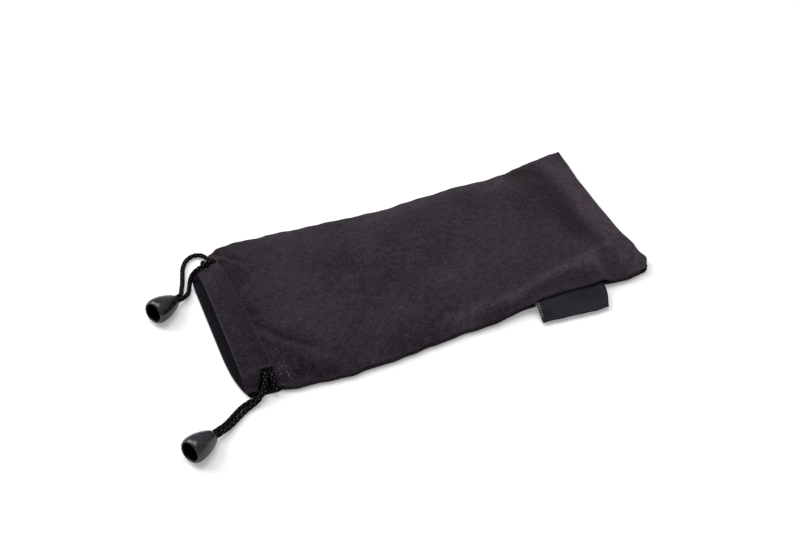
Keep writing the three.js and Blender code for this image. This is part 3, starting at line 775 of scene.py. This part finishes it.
def hidden_run(cord):
    side = cord["side"]
    rows = LANE_ROWS if side < 0 else LANE_ROWS[::-1]

    def run(casing):
        spots = [lane_spot(cord["lane"], casing, v) for v in rows]
        halves = [(a + b) / 2 for a, b in zip(spots[:-1], spots[1:])]
        return [spots[0]] + [p for pair in zip(halves, spots[1:]) for p in pair]
    points = run("front")
    turn = points[-1]
    radius = (turn[2] - BACK_LANE_Z) / 2
    for share in (0.15, 0.33, 0.5, 0.67, 0.85):
        out = math.sin(math.pi * share)
        points.append((turn[0] - cord["bridge_lean"] * out, turn[1] - side * cord["bridge"] * out,
                       BACK_LANE_Z + radius * (1 + math.cos(math.pi * share ** BRIDGE_DROOP))))
    return points + run("back")[::-1]


def bell_place(cord):
    start, axis, across = bell_frame(cord)
    up = np.cross(across, axis)
    turn = Matrix(np.column_stack([across, axis, up]).tolist()).to_4x4()
    return Matrix.Translation(Vector(start) * MM) @ turn


def make_bell(node, cord):
    """Moulded bell, turned about its axis, with a fine parting line on two sides and its cavity marked for
    painted shade.
    """
    corners = bell_profile()
    profile = []
    for (r, y), (r2, y2) in zip(corners[:-1], corners[1:]):
        steps = max(1, round(math.hypot(r2 - r, y2 - y) / 0.35))
        profile += [(mix(r, r2, k / steps), mix(y, y2, k / steps)) for k in range(steps)]
    segments = 96
    points = []
    for k in range(segments):
        angle = 2 * math.pi * k / segments
        seam = PARTING_RISE * sum(math.exp(-(math.remainder(angle - at, 2 * math.pi) / PARTING_HALF) ** 2)
                                  for at in PARTING_ANGLES)
        for r, y in profile:
            outer = r + (seam if r > BELL_NARROW_RADIUS - 0.1 else 0)
            points.append((outer * math.cos(angle), y, outer * math.sin(angle)))
    obj = mesh_object(f"{node}_moulded", points, ring_faces(segments, len(profile), closed=True), PLASTIC)
    # points in the cavity, which the material darkens as painted shade
    inner = [y > BELL_BORE_LENGTH and r < BELL_LIP_RADIUS + 0.2 and y < BELL_LENGTH - 0.2 for r, y in profile]
    mark(obj, "hollow", np.tile(inner, segments))
    obj.data.transform(bell_place(cord))
    outward(obj)
    dress(obj, node, node)
    return obj


def make_knot(side_name, cord):
    """Overhand knot in the doubled cord, as a thick braided trefoil with the two cut ends."""
    t = np.linspace(0, 2 * math.pi, 90)
    big, small = 1.28, 0.78
    out = big + small * np.cos(3 * t)
    loop = stack(out * np.cos(2 * t), KNOT_PLACE + 1.08 * np.sin(3 * t), out * np.sin(2 * t))
    parts = [tube(f"{side_name}_loop", loop, braid, 20, CORD, True)]
    for k in (-1, 1):
        end = [(0.7 * k, KNOT_PLACE + 0.6, 0.3), (0.9 * k, KNOT_PLACE + 1.6, 0.4),
               (1.0 * k, KNOT_PLACE + 2.3, 0.6)]
        parts.append(tube(f"{side_name}_end_{k}", catmull(end, 0.2), plain(0.85, 0.6), 16, CORD, True))
    obj = join(parts, f"{side_name}_knot_braided")
    obj.data.transform(bell_place(cord))
    outward(obj)
    dress(obj, f"{side_name}_cord_knot", f"{side_name}_cord")
    return obj


for side_name, cord in CORDS.items():
    bell = make_bell(f"{side_name}_bell", cord)
    knot = make_knot(side_name, cord)
    run = braided(f"{side_name}_cord_run", hidden_run(cord), 0.3)
    dress(run, f"{side_name}_cord_in_casing")
    for casing in ("front", "back"):
        route = strand_route(cord, casing)
        strand = braided(f"{side_name}_{casing}_strand", route)
        path = catmull(route, 1.0)
        length = np.linalg.norm(np.diff(path, axis=0), axis=1).sum()
        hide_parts(f"{side_name}_cord_{casing}_strand")
        Vector(route[2]) * MM
        Vector(bell_frame(cord)[0]) * MM
        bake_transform(strand)
        Vector(route[1]) * MM

# Folds and hollows of the front panel: points along each, half width, height, and the change of painted light
# and shade, mostly lighter on ridges and darker in hollows
FOLDS = [
    ([(-79.9, -10.2), (-75.1, -18.5), (-66.3, -27.3), (-58, -34.3), (-49, -41)], 1.9, 0.7, 0.17),
    ([(-78.9, 2.7), (-78, -7.6), (-72.5, -13.8), (-67.3, -20.9), (-58, -27.7), (-49, -35.5)],
     1.6, -0.4, -0.2),
    ([(-2, -37.5), (8, -36.5), (20, -37), (28, -36.5), (36, -35)], 3, 0.5, 0.16),
    ([(27, -36.5), (38, -34), (46, -32), (54, -31), (63, -31.5), (72, -29.5)], 2.4, 0.75, 0.32),
    ([(34, -38), (43, -37), (57, -36.5), (66, -38)], 3, -0.1, -0.2),
    ([(30, -26), (45, -22), (60, -24)], 5, -0.4, -0.15),
    ([(58, -28.4), (67, -27.2), (80, -23.5)], 1.2, 0.45, 0.3),
    ([(65.8, -30), (67.9, -34.8), (66.9, -41.5)], 1.6, 0.5, 0.2),
    ([(59.5, 41), (61.5, 34.7), (65.4, 30.5), (72, 25)], 4.6, -0.8, -0.34),
    ([(62, 40), (63.5, 37.5)], 1.6, -0.5, -0.2),
    ([(57, 38), (55, 32), (50, 27)], 2.5, 0.5, 0.2),
    ([(-80.3, 31), (-78, 24.1), (-74.9, 16.4)], 1.6, -0.6, -0.3),
    ([(-79.6, 37.9), (-76.1, 32.4), (-71.1, 26.3)], 1.5, 0.4, -0.12),
    ([(-76, 38), (-72.5, 33.2), (-68, 25)], 1.4, -0.5, -0.25),
    ([(-72, 41), (-70.5, 33.7), (-65.5, 27.6)], 1.8, 0.3, -0.12),
    ([(-86, 28), (-83, 25), (-79, 21)], 1.3, -0.35, -0.2),
    ([(-40, -40), (-30, -33), (-14, -30)], 5, 0.4, 0.12),
    ([(-10, 36), (5, 31), (22, 29)], 6, 0.3, 0.1),
    ([(-73.7, 30), (-73.1, 24.2), (-72.9, 19.6), (-72.9, 12.8)], 2.2, -0.5, -0.6),
    ([(-75.5, 0), (-73, -8)], 2, -0.35, -0.15),
    ([(-68.5, -39), (-64, -37.2), (-59, -38.2)], 2.4, -0.4, -0.3),
    ([(-58, -41), (-50, -38)], 3, -0.3, -0.15),
]


def polyline_distance(x, y, points):
    """Distance to the line through the points, and the share of its length at the nearest place."""
    best = np.full(x.shape, 1e9)
    share = np.zeros(x.shape)
    p = np.array(points, float)
    run = run_along(p)
    for k, length in enumerate(np.linalg.norm(np.diff(p, axis=0), axis=1)):
        d = (p[k + 1] - p[k]) / length
        t = np.clip((x - p[k][0]) * d[0] + (y - p[k][1]) * d[1], 0, length)
        gap = np.hypot(x - p[k][0] - t * d[0], y - p[k][1] - t * d[1])
        nearer = gap < best
        best = np.where(nearer, gap, best)
        share = np.where(nearer, (run[k] + t) / run[-1], share)
    return best, share


def cloth_noise(x, y, size, seed):
    flat = [noise.noise(Vector((a / size, b / size, seed))) for a, b in zip(x.ravel(), y.ravel())]
    return np.array(flat).reshape(x.shape)


FOLD_HEIGHT = 1.2       # what the table's heights and changes of painted light are multiplied by
FOLD_PAINTED_LIGHT = 1.3
BAND_X = 75.4           # where the tail's seam allowance begins to show
BAND_BEFORE = 4.2       # how far before it the hollow is deepest


def front_relief(x, y, v):
    """Height changes, and changes of painted light and shade with random tone, over the front panel's plain
    form.
    """
    height = np.zeros(x.shape)
    painted_light_and_tone = np.zeros(x.shape)
    for points, width, rise, tone in FOLDS:
        gap, share = polyline_distance(x, y, points)
        taper = np.sin(math.pi * clamp01(mix(0.1, 0.95, share))) ** 0.7
        shape = bell_curve(gap / width) * taper
        height += FOLD_HEIGHT * rise * shape
        painted_light_and_tone += FOLD_PAINTED_LIGHT * tone * shape
    inside = smooth(-np.abs(v), -1.0, -0.86)
    # the tail's seam allowance carries a flat band with painted light on it, and a hollow before it with
    # painted shade in it
    band_x = BAND_X + 1.8 * v * v - 1.0 * v + 0.5 * np.sin(y / 5.5)
    past = x - band_x + BAND_BEFORE
    half = (4.4 + 1.2 * v) * np.where(past < 0, 2.0, 0.9)
    hollow = bell_curve(past / half) * inside * smooth(v, -0.85, -0.3)
    band = window(x, band_x - 1.2, band_x + 2, TAIL_X - 3, TAIL_X)
    height += -0.75 * hollow + 0.35 * band * inside
    painted_light_and_tone += -0.38 * hollow + 0.24 * band
    # soft waves; painted light on the near side and painted shade on the far side and towards the mouth, with
    # random tone; painted shade along stretches of the near edge; and puckers along the seams
    height += 0.55 * cloth_noise(x, y, 26, 3.1) * inside + 0.28 * cloth_noise(x, y, 9, 7.7) * inside
    painted_light_and_tone += 0.25 * cloth_noise(x, y, 15, 11.3) - 0.09 * v - 0.04 - 0.16 * smooth(-x, 52, 68)
    edge_shade = window(x, -66, -60, -48, -40) + window(x, 8, 20, 30, 38)
    painted_light_and_tone += -0.26 * bell_curve((1 + v) / 0.08) * edge_shade
    edge = bell_curve((1 - np.abs(v)) / 0.13)
    height += 0.22 * cloth_noise(x, 3 * np.sign(v), 3.2, 5.5) * edge
    return height, painted_light_and_tone


# The soft line that the topstitching draws, from the far slit to the near slit's inner end
CREASE = [(-77.2, 31), (-77, 26), (-77, 19.5), (-77.1, 12.5), (-77.5, 4.6), (-77.7, -2), (-78.5, -8.2),
          (-79.4, -16.5), (-78.8, -24.3), (-77.6, -31), (-77, -34.5)]
CREASE_DEPTH = 0.3
# painted shade darkens the line, on the body and on the casing
CREASE_PAINTED_SHADE = 0.26
CASING_CREASE_DEPTH = 0.18      # on the casing's side of the line
CASING_CREASE_PAINTED_SHADE = 0.2
GROOVE_DEPTH = 0.12             # of the stitches in the front panel, and in the back one
BACK_GROOVE_DEPTH = 0.35


def crease(x, y):
    wander = 0.35 * np.sin(y / 3.1) * np.sin(y / 7.7)
    gap, _ = polyline_distance(x + wander, y, CREASE)
    near = smooth(-y, 8, 22)
    return bell_curve(gap / mix(1.1, 1.6, near)) * mix(1.0, 0.7, near)


def stitch_groove(x, v):
    return bell_curve((x - leaning(TOPSTITCH_X, v)) / 1.4) * (1 - end_share(v))


def casing_waves(x, v):
    """Gathers of the casing: small waves across it, stronger at the slits."""
    y = across_y(x, v)
    wave = cloth_noise(y, 0 * y, 5.0, 2.2) + 0.6 * cloth_noise(y, x, 2.6, 4.4)
    return wave * mix(0.16, 0.5, smooth(np.abs(v), 0.55, 0.95))


# Loose threads on the tail side of the near slit
FRAY_PLACE = (-73.4, -36.6)
FRAY_REACH = 3.2
FRAY_SHOW = 0.62

# Lines of points from the near seam to the far one, closer over the slits
ROWS = np.concatenate([np.linspace(-1, BETWEEN_SLITS[0], 10)[:-1], np.linspace(*BETWEEN_SLITS, 70),
                       np.linspace(BETWEEN_SLITS[1], 1, 16)[1:]])


def cloth_panel(name, up, body_z, hem_z, outer_z, mouth_at):
    """One panel in a single sheet: turned-in allowances, body, casing, mouth fold and hem."""
    v = ROWS[:, None]
    tail = tail_at(v)
    columns = []
    kinds = []

    def put(kind, x, z, painted_light_and_tone=0.0):
        # inner faces seen in the mouth, which the material darkens almost to black as painted shade
        inside = kind == "hem" or (kind == "slit" and "hem" in kinds) or (kind == "mouth fold" and up < 0)
        columns.append(stack(x, across_y(x, v), z, painted_light_and_tone, float(inside))[:, 0])
        kinds.append(kind)

    def body(x):
        if up < 0:
            return body_z(x, v), 0
        y = across_y(x, v)
        height, painted_light_and_tone = front_relief(x, y, v)
        line = crease(x, y)
        height = height - CREASE_DEPTH * line - GROOVE_DEPTH * stitch_groove(x, v)
        return body_z(x, v) + height, painted_light_and_tone - CREASE_PAINTED_SHADE * line

    for inset in np.linspace(ALLOWANCE, 0, 6):
        z, _ = body(tail - inset)
        put("allowance", tail - inset, z - up * LAYER_PITCH)
    z_tail, _ = body(tail)
    for turn in (0.85, 0.67, 0.5, 0.33, 0.15):
        out, over = half_turn(turn)
        put("tail fold", tail + FOLD_RADIUS * out, z_tail - up * FOLD_RADIUS * over)
    shares = np.concatenate([np.linspace(1, 0.97, 6)[:-1], np.linspace(0.97, 0.06, 150)[:-1],
                             np.linspace(0.06, 0, 16)])
    for share in shares:
        x = mix(leaning(TOPSTITCH_X, v), tail, share)
        z, painted_light_and_tone = body(x)
        put("body", x, z, painted_light_and_tone)
    mouth = mouth_at(v)
    stitch, slit_tail, slit_mouth = leaning(TOPSTITCH_X, v), leaning(SLIT_TAIL_X, v), slit_mouth_at(v)
    if up > 0:
        slit_tail = slit_tail - FAR_SLIT_DRAPE * smooth(v, 0.83, 0.97)
    casing = [("casing", mix(stitch, slit_tail, k / 3)) for k in (1, 2)]
    casing += [("slit", mix(slit_tail, slit_mouth, k / 8)) for k in range(9)]
    casing += [("casing", mix(slit_mouth, mouth, k / 5)) for k in range(1, 6)]

    def outer(x):
        if up < 0:
            # pressed flat under the near strands
            pressed = EDGE_LIFT * smooth(-v, EDGE_LIFT_FROM, 1) * smooth(slit_tail + 3 - x, 0, 3)
            return outer_z(x, v) + BACK_GROOVE_DEPTH * stitch_groove(x, v) - pressed
        waves = casing_waves(x, v) * smooth(stitch - x, 0, 4)
        line = crease(x, across_y(x, v))
        return outer_z(x, v) + waves - CASING_CREASE_DEPTH * line - GROOVE_DEPTH * stitch_groove(x, v)

    # The casing is coloured darker, a little less so on its far side; painted light lightens it by the near
    # slit, where the cloth dips into shade
    tone = -0.34 + 0.1 * smooth(v, 0.1, 0.6) + 0.26 * smooth(-v, 0.72, 0.9)
    for kind, x in casing:
        line = crease(x, across_y(x, v)) if up > 0 else 0
        put(kind, x, outer(x), tone * smooth(stitch - x, -0.5, 2.5) - CASING_CREASE_PAINTED_SHADE * line)
    mouth = casing[-1][1]
    low, high = hem_z(mouth, v), outer(mouth)
    half = (high - low) / 2
    for turn in (0.12, 0.25, 0.38, 0.5, 0.62, 0.75, 0.88):
        out, over = half_turn(turn)
        put("mouth fold", mouth - np.abs(half) * out, low + half * (2 - over), -0.2)
    for kind, x in casing[::-1] + [("hem", stitch), ("hem", stitch + HEM_PAST_STITCH)]:
        put(kind.replace("casing", "hem"), x, hem_z(x, v), -0.25)

    grid = np.stack(columns, axis=1)
    count = grid.shape[1]
    middle = (ROWS[:-1] + ROWS[1:]) / 2
    in_slit = (middle < BETWEEN_SLITS[0]) | (middle > BETWEEN_SLITS[1])
    skip = np.zeros((len(ROWS) - 1, count - 1), bool)
    for c in range(count - 1):
        if kinds[c] == "allowance":
            skip[np.abs(middle) > 0.9, c] = True
        if kinds[c] == kinds[c + 1] == "slit":
            # the back panel's outer layer runs on under the near strands
            runs_on = up < 0 and "mouth fold" not in kinds[:c]
            skip[in_slit & ((middle > 0) | (not runs_on)), c] = True
    points = [grid.reshape(-1, 5)]
    faces = grid_faces(len(ROWS), count, skip=skip)

    # side allowances, turned in along the body
    first = kinds.index("body")
    spots = [c for c in range(first + 4, count) if kinds[c] == "body"][:-2]
    for row, side, edge in ((0, -1, near_y), (len(ROWS) - 1, 1, far_y)):
        x, _, z, _, _ = grid[row, spots].T
        strip = [grid[row, spots]]
        for turn in (0.15, 0.33, 0.5, 0.67, 0.85, 1.0):
            out, over = half_turn(turn)
            strip.append(stack(x, edge(x) + side * FOLD_RADIUS * out, z - up * FOLD_RADIUS * over, 0, 0))
        for inset in np.linspace(0, ALLOWANCE, 5)[1:]:
            y = edge(x) - side * inset
            rise = body_z(x, across_v(x, y))
            if up > 0:
                rise = rise + front_relief(x, y, across_v(x, y))[0]
            strip.append(stack(x, y, rise - up * LAYER_PITCH, 0, 0))
        offset = sum(len(p) for p in points)
        points.append(np.array(strip).reshape(-1, 5))
        block = grid_faces(len(strip), len(spots), offset)
        faces += block if side > 0 else [tuple(reversed(f)) for f in block]
    points = np.vstack(points)
    obj = mesh_object(name, points[:, :3], faces, SUEDE)
    # painted light and shade, with random tone, for the material to read
    mark(obj, "painted_light_and_tone", clamp01(0.5 + points[:, 3]))
    mark(obj, "inside", points[:, 4])
    fray_gap = np.hypot(points[:, 0] - FRAY_PLACE[0], points[:, 1] - FRAY_PLACE[1])
    mark(obj, "fray", FRAY_SHOW * bell_curve(fray_gap / FRAY_REACH))
    outward(obj, weld=True)
    solidify(obj, CLOTH + NAP_THICKNESS)
    return obj


# A panel as cut: the pouch's width and length with the allowances and the casing's hem
front = cloth_panel("front_cloth", 1, front_z, front_hem_z, front_outer_z, front_mouth_at)
back = cloth_panel("back_cloth", -1, back_z, back_hem_z, back_z, back_mouth_at)
for obj, node in ((front, "front_panel"), (back, "back_panel")):
    dress(obj, node)


# Label: the ribbon leaves the seam, folds at its outer edge and comes back under itself
def make_label():
    pitch = RIBBON + RIBBON_GAP
    rise = LAYER_PITCH + CLOTH / 2 + RIBBON_CLEARANCE + RIBBON / 2
    xs = np.linspace(LABEL_END_X + LABEL_SPLAY, LABEL_START_X, 61)
    x = mix(TOPSTITCH_X, tail_at(-1.0), (xs - TOPSTITCH_X) / (TAIL_X - TOPSTITCH_X))
    root_z = back_z(x, -1 + 0 * x) + rise
    sag = 0.35 * np.sin(math.pi * (x - x.min()) / (x.max() - x.min()))

    def spot(share, up):
        if share < 0:
            y = near_y(x) + ALLOWANCE / 2 * -share
            return stack(x, y, back_z(x, across_v(x, y)) + rise + up)
        out = share * (LABEL_REACH + LABEL_SKEW * (x - LABEL_START_X))
        z = mix(root_z, LABEL_FOLD_Z, smooth(share, 0.1, 1)) + up + sag * share * (1.2 - share)
        lean = LABEL_SKEW + LABEL_TAIL_LEAN * (x - LABEL_START_X) / LABEL_WIDTH
        bulge = 0.9 * np.sin(math.pi * share) * clamp01((x - LABEL_START_X) / LABEL_WIDTH) ** 6
        return stack(x - lean * out + bulge, near_y(x) - out, z)

    shares = [-1, -0.5, 0, 0.06] + list(np.linspace(0.1, 1, 16))
    rows = [spot(s, pitch) for s in shares]
    for turn in (0.2, 0.4, 0.6, 0.8):
        edge = spot(1.0, pitch / 2 * (1 + math.cos(math.pi * turn)))
        edge[:, 1] -= pitch / 2 * math.sin(math.pi * turn)
        rows.append(edge)
    rows += [spot(s, 0) for s in reversed(shares)]
    grid = np.array(rows)
    obj = mesh_object("label_ribbon", grid.reshape(-1, 3), grid_faces(len(rows), len(xs)), RIBBON_STUFF)
    outward(obj)
    solidify(obj, RIBBON)
    return obj, grid[2:-2, -1]


label, label_end = make_label()
dress(label, "label_tab")


# Threads: every row of stitches is a line of short tubes that dip into the cloth at their ends
STITCH_RADIUS = 0.17
STITCH_SHAPE = STITCH_RADIUS * np.array([0.6, 0.95, 1, 1, 1, 0.95, 0.6])
TOPSTITCH = (2.0, 0.35)     # length of a stitch, and the gap after it
SEAM_STITCH = (1.6, 0.5)
THREAD_RISE = CLOTH / 2 + THREAD_GAP + THREAD_DIAMETER / 2
FRONT_THREAD_SINK = 0.52    # the front's stitches lie this much deeper, in their groove


def stitches(name, path, length, gap, sink, down):
    parts = []
    run = run_along(path)
    dip = np.abs(np.linspace(-1, 1, len(STITCH_SHAPE))) ** 3
    at = 0.0
    while at + length <= run[-1]:
        line = points_at(np.linspace(at, at + length, len(STITCH_SHAPE)), run, path)
        line += np.outer(dip * sink, down)
        parts.append(tube(f"{name}_{len(parts)}", line, plain(STITCH_SHAPE[:, None]), 8, THREAD))
        at += length + gap
    return join(parts, name)


def topstitching(up, height_at):
    v = np.linspace(*BETWEEN_SLITS, 120)
    x = leaning(TOPSTITCH_X + (THREAD_DIAMETER if up > 0 else 0), v)
    return stack(x, across_y(x, v), height_at(x, v) + up * THREAD_RISE)


SEAM_OUT = FOLD_RADIUS + CLOTH / 2 + THREAD_DIAMETER / 2 - THREAD_SINK


def side_thread(low, high, side, edge):
    x = np.linspace(low, high, 160)
    v = np.full(x.shape, float(side))
    return stack(x, edge(x) + side * SEAM_OUT, back_z(x, v) + LAYER_PITCH + CLOTH / 2 + LAYER_GAP / 2)


def tail_thread():
    v = np.linspace(-0.88, 0.96, 90)
    x = tail_at(v)
    return stack(x + SEAM_OUT, across_y(x, v),
                 back_z(TAIL_X + 0 * v, v) + LAYER_PITCH + CLOTH / 2 + LAYER_GAP / 2)


topstitches = stitches("front_topstitches", topstitching(1, front_z) - np.array([0, 0, FRONT_THREAD_SINK]),
                       *TOPSTITCH, 0.35, (0, 0, -1))
dress(topstitches, "front_casing_stitching")
topstitches = stitches("back_topstitches", topstitching(-1, back_z), *TOPSTITCH, 0.3, (0, 0, 1))
dress(topstitches, "back_casing_stitching")
for node, path, down in (
        ("tail_seam_thread", tail_thread(), (-1, 0, 0)),
        ("far_seam_thread", side_thread(-74, 81, 1, far_y), (0, -1, 0)),
        ("near_seam_thread_mouth", side_thread(-74, LABEL_START_X - 2.2, -1, near_y), (0, 1, 0)),
        ("near_seam_thread_tail", side_thread(LABEL_END_X + 2, 80, -1, near_y), (0, 1, 0))):
    dress(stitches(node.replace("thread", "stitches"), path, *SEAM_STITCH, 0.3, down), node)

TACK_RADIUS = 0.13
TACK_LINE = ((0.1, 0.55, -0.2), (0.05, 0.3, 0), (0, 0, 0.05), (-0.05, -0.3, 0), (-0.1, -0.55, -0.2))


def slit_tack(name, side):
    """Bar tack: close stitches side by side across the inner end of a slit."""
    v = BETWEEN_SLITS[0 if side < 0 else 1]
    parts = []
    for k, column in enumerate(np.linspace(SLIT_MOUTH_X + 0.2, SLIT_TAIL_X - 0.2, 11)):
        x = leaning(column, v)
        y = float(across_y(x, v)) - side * 1.5 * THREAD_DIAMETER
        z = float(front_outer_z(np.array(x), np.array(across_v(x, y)))) + CLOTH / 2 + 0.12
        y += 0.12 * math.sin(5.1 * k)
        line = np.array([(x + a, y + side * b, z + c) for a, b, c in TACK_LINE])
        parts.append(tube(f"{name}_{k}", line, plain(TACK_RADIUS), 8, TACK_THREAD))
    return join(parts, name)


dress(slit_tack("near_bar_tack", -1), "near_slit_tack")
dress(slit_tack("far_bar_tack", 1), "far_slit_tack")

# Frayed threads along the ribbon's cut end, most of them lying back over its top
FIBRE_RADIUS = 0.075
PALE_FIBRES = 12                # the first ones, each with two more that lie over the ribbon
FIBRE_REACH = (1, -1.1, -1.9)   # past the cut end, and back from it
FIBRE_SEED = 3                  # without it the directions would differ from run to run
noise.seed_set(FIBRE_SEED)
parts = []
for k, (x, y, z) in enumerate(label_end[2:19]):
    pale = k < PALE_FIBRES
    for turn in (0, 1, 2) if pale else (0,):
        lean = noise.noise_vector(Vector((k * 1.7 + 9 * turn, 4.2, 0.5)))
        reach = (0.5 + 0.5 * abs(lean[0])) * FIBRE_REACH[turn]
        rise = RIBBON / 2 + 0.1 if turn else 0.0
        end = np.array([(x + 0.15, y, z + rise), (x - reach * 0.5, y + 0.3 * lean[1], z + rise + 0.12),
                        (x - reach, y + 0.7 * lean[1], z + rise + 0.25 * lean[2])])
        parts.append(tube(f"fibre_{k}_{turn}", catmull(end, 0.15), plain(FIBRE_RADIUS), 6,
                          FRAY_THREAD if pale else DARK_FRAY_THREAD))
fibres = join(parts, "label_end_fibres")
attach(fibres, "pouch")

# Floor, white to the camera, with the pouch's soft shadow on it
FLOOR_HALF = 4000
FLOOR_Z = -0.3          # just clear of the pouch
FLOOR_GREY = 0.8
FLOOR_GLOW = 0.27       # for the camera alone
table = Nodes(bpy.data.materials.new("white_table"))
matt = table.new("BsdfDiffuse", Color=(FLOOR_GREY, FLOOR_GREY, FLOOR_GREY, 1)).outputs[0]
glow = table.new("Emission", Strength=FLOOR_GLOW).outputs[0]
lifted = table.row("AddShader", matt, glow)
table.new("OutputMaterial", Surface=table.for_camera(matt, lifted))
corners = [(x * FLOOR_HALF, y * FLOOR_HALF, FLOOR_Z) for x, y in ((-1, -1), (1, -1), (1, 1), (-1, 1))]
floor = mesh_object("floor", corners, [(0, 1, 2, 3)], table.owner)

# World: white to the camera, and a plain level of light on the pouch
WHITE = (1, 1, 1, 1)
WORLD_LIGHT = 0.3
world = Nodes(bpy.data.worlds.new("studio"))
bpy.context.scene.world = world.owner
lit = world.new("Background", Color=WHITE, Strength=WORLD_LIGHT).outputs[0]
seen = world.new("Background", Color=WHITE, Strength=1.0).outputs[0]
world.new("OutputWorld", Surface=world.for_camera(lit, seen))


def area_light(name, place, size, power):
    """Square light in metres and watts, which looks at the origin."""
    data = bpy.data.lights.new(name, "AREA")
    data.shape = "SQUARE"
    data.size = size
    data.energy = power
    aim(add_object(name, data), Vector(place), -Vector(place))


area_light("key", (-0.7, 0.75, 1.0), 1.0, 14.0)
area_light("top", (0.05, 0.15, 1.3), 0.8, 8.0)

bpy.context.scene.view_settings.view_transform = "Standard"
